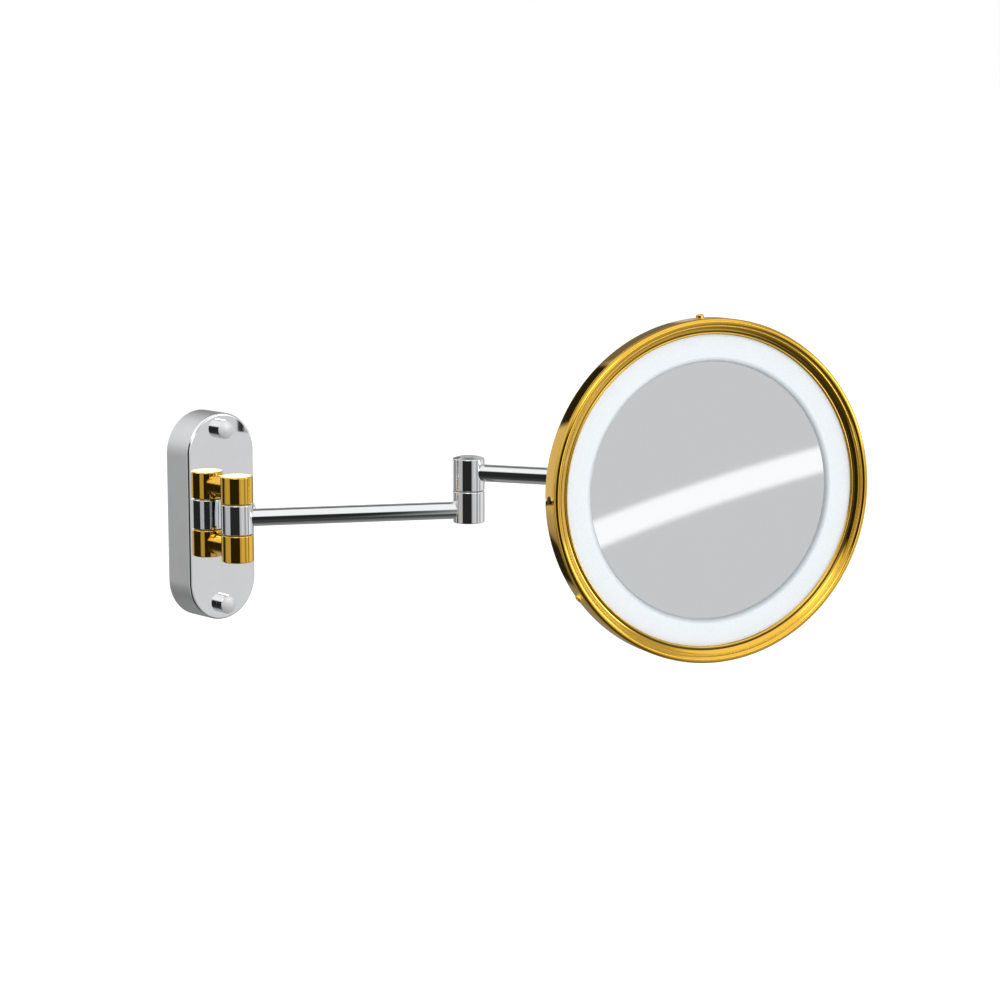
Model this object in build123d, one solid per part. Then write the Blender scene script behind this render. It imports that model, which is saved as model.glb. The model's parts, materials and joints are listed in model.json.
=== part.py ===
from build123d import *
import math
import os

# Extendable shaving mirror for a bathroom wall, with a lit magnifying head on a folding double arm.
# Frame: the wall is the plane Y = 0 and the object stands in front of it, towards -Y.
# +Z is up, and the origin is the centre of the wall box's back face. Millimetres.
os.makedirs("parts", exist_ok=True)

# Wall box
BOX_WIDTH = 51.0
BOX_HEIGHT = 130.0
BOX_DEPTH = 22.0
BOX_WALL = 1.2
BOX_EDGE = 1.6
BRACKET_THICKNESS = 2.0
BRACKET_MARGIN = 0.3
STUD_HEIGHT = 55.0
STUD_RADIUS = 2.5
STUD_COLLAR_RADIUS = 4.3
STUD_COLLAR_THICKNESS = 1.5
STUD_CLEARANCE = 1.0
SCREW_HOLE_HEIGHT = 38.0
SCREW_HOLE_RADIUS = 2.4
CABLE_HOLE_HEIGHT = -26.0
CABLE_HOLE_RADIUS = 6.0
NUT_RADIUS = 5.9
NUT_LENGTH = 5.0
NUT_DOME = 1.3

# Barrels, pins and washers
BARREL_RADIUS = 10.0
BARREL_CHAMFER = 0.5
PIN_RADIUS = 4.0
PIN_BORE = 2.0
PIN_CAP = 3.0
RUNNING_FIT = 0.05
WASHER_RADIUS = 8.0
WASHER_THICKNESS = 0.3
SIDE_PLAY = 0.02
WASHER_GAP = WASHER_THICKNESS + 2 * SIDE_PLAY
LEAD_RADIUS = 1.5
LEAD_HOLE = 2.0

# Hinge column on the wall box
COLUMN_Y = -(BOX_DEPTH + 14.9)
COLUMN_MIDDLE = 0.5
MIDDLE_HEIGHT = 19.5
KNUCKLE_HEIGHT = 17.0
STEM_RADIUS = 7.0
STEM_THREAD_RADIUS = 4.0
STEM_THREAD_END = -9.5
STEM_WASHER_THICKNESS = 1.0
STEM_NUT_THICKNESS = 4.5
PLUG_RADIUS = 6.0
PLUG_THICKNESS = 2.5

# Push switch on the box's right side
SWITCH_Y = -11.0
SWITCH_BODY_RADIUS = 4.0
SWITCH_BODY_LENGTH = 15.0
COLLAR_RADIUS = 5.6
COLLAR_LENGTH = 2.8
BUTTON_RADIUS = 4.3
BUTTON_LENGTH = 4.0
BUTTON_TRAVEL = 1.5
BUTTON_STEM_RADIUS = 1.6

# Arms
TUBE_RADIUS = 5.4
TUBE_WALL = 1.2
SOCKET_DEPTH = 3.8
ARM_1_LENGTH = 146.0
ARM_1_HEIGHT = 0.9
ARM_1_ANGLE = -31.3
ARM_2_LENGTH = 132.5
ARM_2_HEIGHT = 24.8
ARM_2_ANGLE = -62.2
ELBOW_SPLIT = 13.5
ELBOW_HALF = 20.3
ELBOW_PIN_RADIUS = 3.5
ELBOW_NUT_RADIUS = 5.4
ELBOW_RECESS_RADIUS = 5.75

# Head swivel (vertical pan pin) and tilt bolt
END_BARREL_HEIGHT = 19.5
CHEEK_THICKNESS = 5.0
YOKE_WIDTH = 14.0
YOKE_WEB_NEAR = 11.2
YOKE_WEB_FAR = 15.2
TILT_FORWARD = 22.0
TONGUE_THICKNESS = 8.0
TONGUE_RADIUS = 6.5
TILT_PIN_RADIUS = 2.5
LUG_THICKNESS = 4.5
TILT_NUT_RADIUS = 4.6
TILT_THREAD = 3.4
PAN_ANGLE = -22.0
TILT_ANGLE = 2.2

# Head: distances are measured back from the plane of the rim's outer edge
HEAD_FORWARD = 34.0
HEAD_RADIUS = 103.0
HEAD_DEPTH = 20.0
RIM_SEAM = 1.8
RIM_RIDGE_RADIUS = 99.4
RIM_INNER_RADIUS = 92.6
RIM_INNER_BACK = 3.1
SHELL_WALL = 1.5
SHELL_SIDE_END = 12.2
SHELL_CORNER = 6.0
SHELL_FLAT_RADIUS = 60.0
DIFFUSER_FRONT = 4.3
DIFFUSER_THICKNESS = 2.0
DIFFUSER_INNER = 78.2
DIFFUSER_ROLL = 3.0
DIFFUSER_SKIRT = 1.5
DIFFUSER_SKIRT_END = 9.4
MIRROR_RADIUS = 77.9
MIRROR_EDGE_BACK = 6.7
MIRROR_CURVE = 900.0
MIRROR_THICKNESS = 3.0
SEAT_INNER = 74.0
BACKPLATE_RADIUS = 97.8
BACKPLATE_FRONT = 14.6
BACKPLATE_THICKNESS = 1.0
BACKPLATE_BORE = 8.0
BOARD_THICKNESS = 1.2
LED_COUNT = 36
LED_RING_RADIUS = 88.0
RIM_SCREW_ANGLES = (92.0, 212.0, 332.0)
SIDE_SCREW_ANGLE = 180.0
SIDE_SCREW_BACK = 6.8
SIDE_SCREW_HEAD = 2.3
SIDE_SCREW_SINK = 0.8
SCREW_RADIUS = 1.5
SMALL_SCREW_RADIUS = 1.25
RIM_SCREW_RADIUS = 1.0
RIM_SCREW_HEAD = 2.0
RIM_SCREW_SINK = 0.4
RIM_SCREW_PROUD = 0.7

BASE = (Align.CENTER, Align.CENTER, Align.MIN)


def export_part(name, shape):
    """Write one node's solids, and print the node's volume."""
    export_step(shape, f"parts/{name}.step")
    print(f"{name}: {shape.volume:.1f} mm3")


def rod(radius, start, end):
    """Upright cylinder on the local Z axis, from start to end."""
    return Pos(0, 0, start) * Cylinder(radius, end - start, align=BASE)


def ring(outer, inner, start, end):
    """Upright tube on the local Z axis, from start to end."""
    return rod(outer, start, end) - rod(inner, start - 1, end + 1)


def bar_x(radius, start, end, height=0.0):
    """Cylinder along the local X axis at the given height, from start to end."""
    turned = Location((start, 0, height), (0, 90, 0))
    return turned * Cylinder(radius, end - start, align=BASE)


def bar_y(radius, start, end, x=0.0, z=0.0):
    """Cylinder along Y at the given X and Z, from start back to end (end is nearer the wall)."""
    turned = Location((x, start, z), (-90, 0, 0))
    return turned * Cylinder(radius, end - start, align=BASE)


def barrel(start, end, radius=BARREL_RADIUS):
    """Upright hinge barrel with chamfered rims."""
    body = rod(radius, start, end)
    return chamfer(body.edges().filter_by(GeomType.CIRCLE), BARREL_CHAMFER)


def hex_prism(across_corners, start, end, hole):
    """Hexagon nut on the local Z axis, with a round hole."""
    body = Pos(0, 0, start) * extrude(RegularPolygon(across_corners, 6), end - start)
    return body - rod(hole, start - 1, end + 1)


def obround(width, height, start, end):
    """Upright obround slab between two distances in front of the wall."""
    outline = Plane.XZ.offset(start) * SlotOverall(height, width, rotation=90)
    return extrude(outline, end - start)


# ---------------------------------------------------------------- places of the moving bodies
def direction(angle):
    """Horizontal unit vector at an angle from +X."""
    return Vector(math.cos(math.radians(angle)), math.sin(math.radians(angle)), 0)


COLUMN_POINT = Vector(0, COLUMN_Y, 0)
ELBOW_POINT = COLUMN_POINT + direction(ARM_1_ANGLE) * ARM_1_LENGTH
PAN_POINT = ELBOW_POINT + direction(ARM_2_ANGLE) * ARM_2_LENGTH
FACING_ANGLE = PAN_ANGLE - 90.0
TILT_POINT = PAN_POINT + direction(FACING_ANGLE) * TILT_FORWARD + Vector(0, 0, ARM_2_HEIGHT)
TILT = math.radians(TILT_ANGLE)
HEAD_NORMAL = direction(FACING_ANGLE) * math.cos(TILT) + Vector(0, 0, math.sin(TILT))
HEAD_RIGHT = direction(FACING_ANGLE + 90.0)
HEAD_POINT = TILT_POINT + HEAD_NORMAL * HEAD_FORWARD

ARM_1_PLACE = Location(COLUMN_POINT.to_tuple(), (0, 0, ARM_1_ANGLE))
ARM_2_PLACE = Location(ELBOW_POINT.to_tuple(), (0, 0, ARM_2_ANGLE))
SWIVEL_PLACE = Location(PAN_POINT.to_tuple(), (0, 0, FACING_ANGLE))
HEAD_PLACE = Plane(origin=HEAD_POINT, x_dir=HEAD_RIGHT, z_dir=HEAD_NORMAL).location


# ---------------------------------------------------------------- wall box
def wall_bracket():
    """Steel back plate with stud holes, two wall screw holes and the cable entry."""
    inset = 2 * (BOX_WALL + BRACKET_MARGIN)
    plate = obround(BOX_WIDTH - inset, BOX_HEIGHT - inset, 0, BRACKET_THICKNESS)
    for height in (-STUD_HEIGHT, STUD_HEIGHT):
        plate -= bar_y(STUD_RADIUS, -BRACKET_THICKNESS - 1, 1, 0, height)
    for height in (-SCREW_HOLE_HEIGHT, SCREW_HOLE_HEIGHT):
        plate -= bar_y(SCREW_HOLE_RADIUS, -BRACKET_THICKNESS - 1, 1, 0, height)
    return plate - bar_y(CABLE_HOLE_RADIUS, -BRACKET_THICKNESS - 1, 1, 0, CABLE_HOLE_HEIGHT)


def bracket_studs():
    """Two threaded studs that carry the cover, each with a collar against the bracket."""
    tip = -(BOX_DEPTH + NUT_LENGTH - STUD_CLEARANCE)
    collar_front = -BRACKET_THICKNESS - STUD_COLLAR_THICKNESS
    studs = []
    for height in (-STUD_HEIGHT, STUD_HEIGHT):
        stud = bar_y(STUD_RADIUS, tip, 0, 0, height)
        stud += bar_y(STUD_COLLAR_RADIUS, collar_front, -BRACKET_THICKNESS, 0, height)
        studs.append(stud)
    return Compound(studs)


def wall_box_cover():
    """Polished obround cover, open at the back, drilled for studs, stems and the switch."""
    shell = obround(BOX_WIDTH, BOX_HEIGHT, 0, BOX_DEPTH)
    shell = fillet(shell.faces().sort_by(Axis.Y)[0].edges(), BOX_EDGE)
    inner_width = BOX_WIDTH - 2 * BOX_WALL
    inner_height = BOX_HEIGHT - 2 * BOX_WALL
    shell -= obround(inner_width, inner_height, -1, BOX_DEPTH - BOX_WALL)
    for height in (-STUD_HEIGHT, STUD_HEIGHT):
        shell -= bar_y(STUD_RADIUS + 0.2, -BOX_DEPTH - 1, 0, 0, height)
    for height in STEM_HEIGHTS:
        shell -= bar_y(STEM_THREAD_RADIUS + 0.1, -BOX_DEPTH - 1, 0, 0, height)
    hole = bar_x(SWITCH_BODY_RADIUS + 0.1, BOX_WIDTH / 2 - 4, BOX_WIDTH / 2 + 1)
    return shell - Pos(0, SWITCH_Y, 0) * hole


def cap_nuts():
    """Two round cap nuts with low domed faces, bored blind for the studs."""
    crown = (NUT_RADIUS**2 + NUT_DOME**2) / (2 * NUT_DOME)
    nuts = []
    for height in (-STUD_HEIGHT, STUD_HEIGHT):
        face = -BOX_DEPTH - NUT_LENGTH
        nut = bar_y(NUT_RADIUS, face - 2 * NUT_DOME, -BOX_DEPTH, 0, height)
        nut &= Pos(0, face - NUT_DOME + crown, height) * Sphere(crown)
        nut -= bar_y(STUD_RADIUS, face + STUD_CLEARANCE, -BOX_DEPTH + 1, 0, height)
        nuts.append(nut)
    return Compound(nuts)


# ---------------------------------------------------------------- hinge column
MIDDLE_BOTTOM = COLUMN_MIDDLE - MIDDLE_HEIGHT / 2
MIDDLE_TOP = COLUMN_MIDDLE + MIDDLE_HEIGHT / 2
COLUMN_TOP = MIDDLE_TOP + KNUCKLE_HEIGHT
COLUMN_BOTTOM = MIDDLE_BOTTOM - KNUCKLE_HEIGHT
STEM_HEIGHTS = (MIDDLE_TOP + KNUCKLE_HEIGHT / 2, MIDDLE_BOTTOM - KNUCKLE_HEIGHT / 2)


def hinge_knuckle(bottom, top, stem_height):
    """Gold knuckle: a barrel on the column axis with a stem that ends in a thread in the box."""
    body = Pos(0, COLUMN_Y, 0) * barrel(bottom, top)
    body += bar_y(STEM_RADIUS, COLUMN_Y + PIN_RADIUS, -BOX_DEPTH, 0, stem_height)
    return body + bar_y(STEM_THREAD_RADIUS, -BOX_DEPTH - 1, STEM_THREAD_END, 0, stem_height)


def hinge_knuckle_upper():
    """Upper knuckle, closed at the top, with a blind bore for the pin."""
    body = hinge_knuckle(MIDDLE_TOP, COLUMN_TOP, STEM_HEIGHTS[0])
    return body - Pos(0, COLUMN_Y, 0) * rod(PIN_RADIUS, MIDDLE_TOP - 1, COLUMN_TOP - PIN_CAP)


def hinge_knuckle_lower():
    """Lower knuckle, bored through for the pin and its plug, with a lead hole in the stem."""
    body = hinge_knuckle(COLUMN_BOTTOM, MIDDLE_BOTTOM, STEM_HEIGHTS[1])
    body -= Pos(0, COLUMN_Y, 0) * rod(PIN_RADIUS, COLUMN_BOTTOM - 1, MIDDLE_BOTTOM + 1)
    body -= Pos(0, COLUMN_Y, 0) * rod(PLUG_RADIUS, COLUMN_BOTTOM - 1, COLUMN_BOTTOM + PLUG_THICKNESS)
    return body - bar_y(LEAD_HOLE, COLUMN_Y, STEM_THREAD_END + 1, 0, STEM_HEIGHTS[1])


def hinge_pin():
    """Hollow pin through the three barrels, with side openings where the lead enters and leaves."""
    pin = ring(PIN_RADIUS, PIN_BORE, COLUMN_BOTTOM + PLUG_THICKNESS, COLUMN_TOP - PIN_CAP)
    pin -= bar_x(LEAD_HOLE, 0, PIN_RADIUS + 1, ARM_1_HEIGHT)
    pin = Pos(0, COLUMN_Y, 0) * pin
    return pin - bar_y(LEAD_HOLE, COLUMN_Y, COLUMN_Y + PIN_RADIUS + 1, 0, STEM_HEIGHTS[1])


def hinge_plug():
    """Plug that closes the lower knuckle's bore."""
    return Pos(0, COLUMN_Y, 0) * rod(PLUG_RADIUS, COLUMN_BOTTOM, COLUMN_BOTTOM + PLUG_THICKNESS)


def hinge_washers():
    """Two thin friction washers, above and below the middle barrel."""
    inner = PIN_RADIUS + RUNNING_FIT
    lower = ring(WASHER_RADIUS, inner, MIDDLE_BOTTOM, MIDDLE_BOTTOM + WASHER_THICKNESS)
    upper = ring(WASHER_RADIUS, inner, MIDDLE_TOP - WASHER_THICKNESS, MIDDLE_TOP)
    return Pos(0, COLUMN_Y, 0) * Compound([lower, upper])


def stem_washers():
    """Washers inside the cover, on the stems' threads."""
    inside = -BOX_DEPTH + BOX_WALL
    washers = []
    for height in STEM_HEIGHTS:
        washer = bar_y(STEM_RADIUS + 0.5, inside, inside + STEM_WASHER_THICKNESS, 0, height)
        washers.append(washer - bar_y(STEM_THREAD_RADIUS, inside - 1, 0, 0, height))
    return Compound(washers)


def stem_nuts():
    """Hexagon nuts that clamp the stems to the cover."""
    inside = -BOX_DEPTH + BOX_WALL + STEM_WASHER_THICKNESS
    nut = hex_prism(STEM_RADIUS, 0, STEM_NUT_THICKNESS, STEM_THREAD_RADIUS)
    return Compound([Location((0, inside, height), (-90, 0, 0)) * nut for height in STEM_HEIGHTS])


# ---------------------------------------------------------------- electrics in the box
GROMMET_LIP = 1.4
GROMMET_WALL = 1.5
TERMINAL_SIZE = (24.0, 7.0, 9.0)
TERMINAL_HEIGHT = 45.5
TERMINAL_PORTS = (-8.0, 0.0, 8.0)
TERMINAL_PORT_RADIUS = 1.5
TERMINAL_WELL_RADIUS = 1.8
DRIVER_SIZE = (30.0, 7.0, 30.0)
DRIVER_SIDE = -6.0
DRIVER_HEIGHT = 2.0
BOX_LEAD_RADIUS = 1.1


def cable_grommet():
    """Rubber ring in the bracket's cable entry."""
    outer = bar_y(CABLE_HOLE_RADIUS, -BRACKET_THICKNESS, 0, 0, CABLE_HOLE_HEIGHT)
    lip_front = -BRACKET_THICKNESS - GROMMET_LIP
    outer += bar_y(CABLE_HOLE_RADIUS + GROMMET_WALL, lip_front, -BRACKET_THICKNESS, 0, CABLE_HOLE_HEIGHT)
    return outer - bar_y(CABLE_HOLE_RADIUS - GROMMET_WALL, lip_front - 1, 1, 0, CABLE_HOLE_HEIGHT)


def terminal_block():
    """Three-way terminal block with wire ports and screw wells."""
    width, depth, height = TERMINAL_SIZE
    middle = -BRACKET_THICKNESS - depth / 2
    block = Pos(0, middle, TERMINAL_HEIGHT) * Box(width, depth, height)
    block = chamfer(block.edges().filter_by(Axis.Z), 0.8)
    for x in TERMINAL_PORTS:
        block -= Pos(x, middle, TERMINAL_HEIGHT) * Cylinder(TERMINAL_PORT_RADIUS, height + 2)
        block -= bar_y(TERMINAL_WELL_RADIUS, middle - depth, middle, x, TERMINAL_HEIGHT)
    return block


def led_driver():
    """Sealed LED driver, screwed flat on the bracket."""
    width, depth, height = DRIVER_SIZE
    middle = -BRACKET_THICKNESS - depth / 2
    case = Pos(DRIVER_SIDE, middle, DRIVER_HEIGHT) * Box(width, depth, height)
    return fillet(case.edges().filter_by(Axis.Y), 2.0)


def driver_leads():
    """Two leads from the terminal block down to the driver."""
    y = -BRACKET_THICKNESS - TERMINAL_SIZE[1] / 2
    top = TERMINAL_HEIGHT - TERMINAL_SIZE[2] / 2
    bottom = DRIVER_HEIGHT + DRIVER_SIZE[2] / 2
    leads = []
    for x in TERMINAL_PORTS[:2]:
        leads.append(Pos(x, y, bottom) * Cylinder(BOX_LEAD_RADIUS, top - bottom, align=BASE))
    return Compound(leads)


# ---------------------------------------------------------------- push switch
SWITCH_INNER = BOX_WIDTH / 2 - BOX_WALL
SWITCH_BORE = 2.9
SWITCH_BASE = 3.0
SWITCH_LIP = 1.0
SWITCH_NUT_THICKNESS = 2.2
PLUNGER_DEPTH = 7.0
SPRING_RADIUS = 2.3
SPRING_WIRE = 0.3
SPRING_TURNS = 6
SPRING_DEPTH = 6.0
SPRING_REACH = 2.4
COLLAR_END = BOX_WIDTH / 2 + COLLAR_LENGTH


def switch_body():
    """Threaded switch barrel through the side wall, bored for the plunger and its spring."""
    start = BOX_WIDTH / 2 - SWITCH_BODY_LENGTH
    body = bar_x(SWITCH_BODY_RADIUS, start, BOX_WIDTH / 2 + SWITCH_LIP)
    body -= bar_x(SWITCH_BORE, start + SWITCH_BASE, BOX_WIDTH / 2 + SWITCH_LIP + 1)
    body -= Pos(start, 0, 0) * Box(1.0, 1.0, 2 * SWITCH_BODY_RADIUS)
    return Pos(0, SWITCH_Y, 0) * body


def switch_collar():
    """Gold bezel outside the box wall, around the button."""
    body = bar_x(COLLAR_RADIUS, BOX_WIDTH / 2, COLLAR_END)
    body = chamfer(body.faces().sort_by(Axis.X)[-1].edges(), 0.6)
    body -= bar_x(SWITCH_BODY_RADIUS, BOX_WIDTH / 2 - 1, BOX_WIDTH / 2 + SWITCH_LIP)
    body -= bar_x(BUTTON_RADIUS + 0.3, BOX_WIDTH / 2 + SWITCH_LIP, COLLAR_END + 1)
    return Pos(0, SWITCH_Y, 0) * body


def switch_nut():
    """Hexagon nut that holds the switch from inside."""
    nut = hex_prism(COLLAR_RADIUS + 0.6, 0, SWITCH_NUT_THICKNESS, SWITCH_BODY_RADIUS)
    return Location((SWITCH_INNER, SWITCH_Y, 0), (0, -90, 0)) * nut


def switch_button():
    """Domed push button with its plunger."""
    outer = COLLAR_END + BUTTON_LENGTH
    seat = BOX_WIDTH / 2 + SWITCH_LIP + BUTTON_TRAVEL + 0.2
    cap = bar_x(BUTTON_RADIUS, seat, outer)
    cap = fillet(cap.faces().sort_by(Axis.X)[-1].edges(), 2.6)
    plunger = bar_x(BUTTON_STEM_RADIUS, BOX_WIDTH / 2 - PLUNGER_DEPTH, seat + 0.5)
    return Pos(0, SWITCH_Y, 0) * (cap + plunger)


def switch_spring():
    """Compression spring round the plunger."""
    start = BOX_WIDTH / 2 - SPRING_DEPTH
    length = BOX_WIDTH / 2 + SPRING_REACH - start
    helix = Helix(pitch=length / SPRING_TURNS, height=length, radius=SPRING_RADIUS)
    profile = Plane(origin=helix @ 0, z_dir=helix % 0) * Circle(SPRING_WIRE)
    return Location((start, SWITCH_Y, 0), (0, 90, 0)) * sweep(profile, path=helix)


# ---------------------------------------------------------------- arm 1, along local X
def tube(length, height):
    """Arm tube between two sockets, one at the pivot and one at the far end."""
    reach = BARREL_RADIUS - SOCKET_DEPTH
    outer = bar_x(TUBE_RADIUS, reach, length - reach, height)
    return outer - bar_x(TUBE_RADIUS - TUBE_WALL, reach - 1, length - reach + 1, height)


def socket(height, side=1):
    """Cutter for a tube's socket and the lead hole behind it, on the +X (1) or -X (-1) side."""
    reach = BARREL_RADIUS - SOCKET_DEPTH
    cutter = bar_x(TUBE_RADIUS, reach, BARREL_RADIUS + 1, height)
    cutter += bar_x(LEAD_HOLE, 0, reach + 1, height)
    return cutter if side > 0 else Rot(0, 0, 180) * cutter


def lead(length, height):
    """Lead inside an arm tube, from one hinge bore to the other."""
    return bar_x(LEAD_RADIUS, PIN_RADIUS + 0.5, length - PIN_RADIUS - 0.5, height)


def arm_1_barrel():
    """Middle barrel of the column, turning on the pin."""
    body = barrel(MIDDLE_BOTTOM + WASHER_GAP, MIDDLE_TOP - WASHER_GAP)
    body -= rod(PIN_RADIUS + RUNNING_FIT, COLUMN_BOTTOM, COLUMN_TOP)
    return body - socket(ARM_1_HEIGHT)


ELBOW_BOTTOM = ELBOW_SPLIT - ELBOW_HALF
ELBOW_TOP = ELBOW_SPLIT + ELBOW_HALF
ELBOW_PLUG_TOP = ELBOW_BOTTOM + 1.5
ELBOW_FLOOR = -1.3


def elbow_lower():
    """Lower half of the elbow, with a recess below for the nut."""
    body = barrel(ELBOW_BOTTOM, ELBOW_SPLIT - WASHER_GAP / 2)
    body -= rod(ELBOW_PIN_RADIUS + RUNNING_FIT, ELBOW_BOTTOM - 1, ELBOW_TOP)
    body -= rod(ELBOW_RECESS_RADIUS, ELBOW_BOTTOM - 1, ELBOW_FLOOR)
    return Pos(ARM_1_LENGTH, 0, 0) * (body - socket(ARM_1_HEIGHT, -1))


def elbow_slip_washer():
    """Friction washer between the elbow's halves."""
    half = WASHER_THICKNESS / 2
    inner = ELBOW_PIN_RADIUS + RUNNING_FIT
    washer = ring(WASHER_RADIUS, inner, ELBOW_SPLIT - half, ELBOW_SPLIT + half)
    return Pos(ARM_1_LENGTH, 0, -SIDE_PLAY) * washer


def elbow_plug():
    """Disc that closes the recess under the elbow."""
    return Pos(ARM_1_LENGTH, 0, 0) * rod(ELBOW_RECESS_RADIUS, ELBOW_BOTTOM, ELBOW_PLUG_TOP)


# ---------------------------------------------------------------- arm 2, along local X
ELBOW_NUT_BOTTOM = ELBOW_PLUG_TOP + 0.2
SPRING_WASHER_BOTTOM = ELBOW_FLOOR - SIDE_PLAY - 0.6
END_BOTTOM = ARM_2_HEIGHT - END_BARREL_HEIGHT / 2
END_TOP = ARM_2_HEIGHT + END_BARREL_HEIGHT / 2


def elbow_upper():
    """Upper half of the elbow, closed on top, holding the elbow pin."""
    body = barrel(ELBOW_SPLIT + WASHER_GAP / 2, ELBOW_TOP)
    body -= rod(ELBOW_PIN_RADIUS, ELBOW_BOTTOM, ELBOW_TOP - PIN_CAP)
    return body - socket(ARM_2_HEIGHT)


def elbow_pin():
    """Hollow pin, fixed in the upper half and threaded at its foot for the nut."""
    pin = ring(ELBOW_PIN_RADIUS, PIN_BORE - 0.2, ELBOW_NUT_BOTTOM, ELBOW_TOP - PIN_CAP)
    pin -= bar_x(LEAD_HOLE - 0.2, 0, ELBOW_PIN_RADIUS + 1, ARM_2_HEIGHT)
    turn = Rot(0, 0, ARM_1_ANGLE - ARM_2_ANGLE + 180)
    return pin - turn * bar_x(LEAD_HOLE - 0.2, 0, ELBOW_PIN_RADIUS + 1, ARM_1_HEIGHT)


def elbow_nut():
    """Nut on the foot of the elbow pin, turning with arm 2."""
    return hex_prism(ELBOW_NUT_RADIUS, ELBOW_NUT_BOTTOM, SPRING_WASHER_BOTTOM, ELBOW_PIN_RADIUS)


def elbow_spring_washer():
    """Washer that keeps the elbow stiff."""
    return ring(ELBOW_NUT_RADIUS, ELBOW_PIN_RADIUS, SPRING_WASHER_BOTTOM, ELBOW_FLOOR - SIDE_PLAY)


def arm_2_end_barrel():
    """Barrel at the end of arm 2, between the yoke's cheeks."""
    body = barrel(END_BOTTOM + WASHER_GAP, END_TOP - WASHER_GAP)
    body -= rod(PIN_RADIUS + RUNNING_FIT, END_BOTTOM, END_TOP)
    return Pos(ARM_2_LENGTH, 0, 0) * (body - socket(ARM_2_HEIGHT, -1))


# ---------------------------------------------------------------- swivel, head side is local +X
YOKE_BOTTOM = END_BOTTOM - CHEEK_THICKNESS
YOKE_TOP = END_TOP + CHEEK_THICKNESS


def swivel_yoke():
    """C-shaped yoke: two cheeks on the pan pin, a web and a tongue for the tilt bolt."""
    body = rod(BARREL_RADIUS, YOKE_BOTTOM, YOKE_TOP)
    height = YOKE_TOP - YOKE_BOTTOM
    slab = Box(YOKE_WEB_FAR, YOKE_WIDTH, height, align=(Align.MIN, Align.CENTER, Align.MIN))
    body += Pos(0, 0, YOKE_BOTTOM) * slab
    body = fillet(body.edges().filter_by(Axis.Z), 1.0)
    body = chamfer(body.faces().sort_by(Axis.Z)[-1].edges(), 0.6)
    body = chamfer(body.faces().sort_by(Axis.Z)[0].edges(), 0.6)
    gap = Box(
        BARREL_RADIUS + YOKE_WEB_NEAR + 1,
        3 * YOKE_WIDTH,
        END_BARREL_HEIGHT,
        align=(Align.MAX, Align.CENTER, Align.MIN),
    )
    body -= Pos(YOKE_WEB_NEAR, 0, END_BOTTOM) * gap
    tongue = Pos((YOKE_WEB_NEAR + TILT_FORWARD) / 2 + 1, 0, ARM_2_HEIGHT) * Box(
        TILT_FORWARD - YOKE_WEB_NEAR - 2, TONGUE_THICKNESS, 2 * TONGUE_RADIUS
    )
    half = TONGUE_THICKNESS / 2
    eye = bar_y(TONGUE_RADIUS, -half, half, TILT_FORWARD, ARM_2_HEIGHT)
    body += tongue + eye
    reach = TONGUE_THICKNESS
    body -= bar_y(TILT_PIN_RADIUS + RUNNING_FIT, -reach, reach, TILT_FORWARD, ARM_2_HEIGHT)
    return body - rod(PIN_RADIUS, YOKE_BOTTOM - 1, YOKE_TOP + 1)


def swivel_pin():
    """Pan pin with a low domed head, fixed in the cheeks."""
    head = rod(PIN_RADIUS + 2, YOKE_TOP, YOKE_TOP + 1.8)
    head = fillet(head.faces().sort_by(Axis.Z)[-1].edges(), 1.2)
    return head + rod(PIN_RADIUS, YOKE_BOTTOM, YOKE_TOP)


def swivel_washers():
    """Two friction washers beside the end barrel."""
    inner = PIN_RADIUS + RUNNING_FIT
    lower = ring(WASHER_RADIUS, inner, END_BOTTOM, END_BOTTOM + WASHER_THICKNESS)
    upper = ring(WASHER_RADIUS, inner, END_TOP - WASHER_THICKNESS, END_TOP)
    return Compound([lower, upper])


# ---------------------------------------------------------------- head, front is local +Z
BRACKET_BASE_RADIUS = 24.0
BRACKET_BASE_THICKNESS = 2.5
BRACKET_BACK = -HEAD_DEPTH - BRACKET_BASE_THICKNESS
BRACKET_SCREW_RING = 17.0
CLAMP_THICKNESS = 2.0
LUG_INNER = TONGUE_THICKNESS / 2 + WASHER_GAP
LUG_OUTER = LUG_INNER + LUG_THICKNESS
SHELL_FLOOR = -HEAD_DEPTH + SHELL_WALL
CENTRE_HOLE = 3.0
BACKPLATE_SCREW_RING = 58.0
BOSS_RADIUS = 3.5
BOSS_THREAD = 2.4
SCREW_HEAD_RADIUS = 2.7
SCREW_HEAD_HEIGHT = 1.8
BOARD_OUTER = 96.5
BOARD_INNER = 80.5


def ring_of(shape, count, radius, start=0.0):
    """Copies of a shape round the local Z axis."""
    step = 360.0 / count
    return [Rot(0, 0, start + i * step) * Pos(radius, 0, 0) * shape for i in range(count)]


def head_bracket():
    """Round foot on the head's back, with two lugs for the tilt bolt."""
    body = rod(BRACKET_BASE_RADIUS, BRACKET_BACK, -HEAD_DEPTH)
    body = chamfer(body.faces().sort_by(Axis.Z)[0].edges(), 0.8)
    for side in (-1, 1):
        start = LUG_INNER if side > 0 else -LUG_OUTER
        lug = bar_x(TONGUE_RADIUS, start, start + LUG_THICKNESS, -HEAD_FORWARD)
        middle = start + LUG_THICKNESS / 2
        neck = HEAD_FORWARD + BRACKET_BACK + 0.5
        lug += Pos(middle, 0, -HEAD_FORWARD + neck / 2) * Box(
            LUG_THICKNESS, 2 * TONGUE_RADIUS, neck
        )
        body += lug
    body -= bar_x(TILT_PIN_RADIUS, -LUG_OUTER - 1, LUG_OUTER + 1, -HEAD_FORWARD)
    body -= rod(CENTRE_HOLE, BRACKET_BACK - 1, -HEAD_DEPTH + 1)
    drill = rod(SCREW_RADIUS, BRACKET_BACK - 1, -HEAD_DEPTH + 1)
    for hole in ring_of(drill, 4, BRACKET_SCREW_RING, 45):
        body -= hole
    return body


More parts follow.
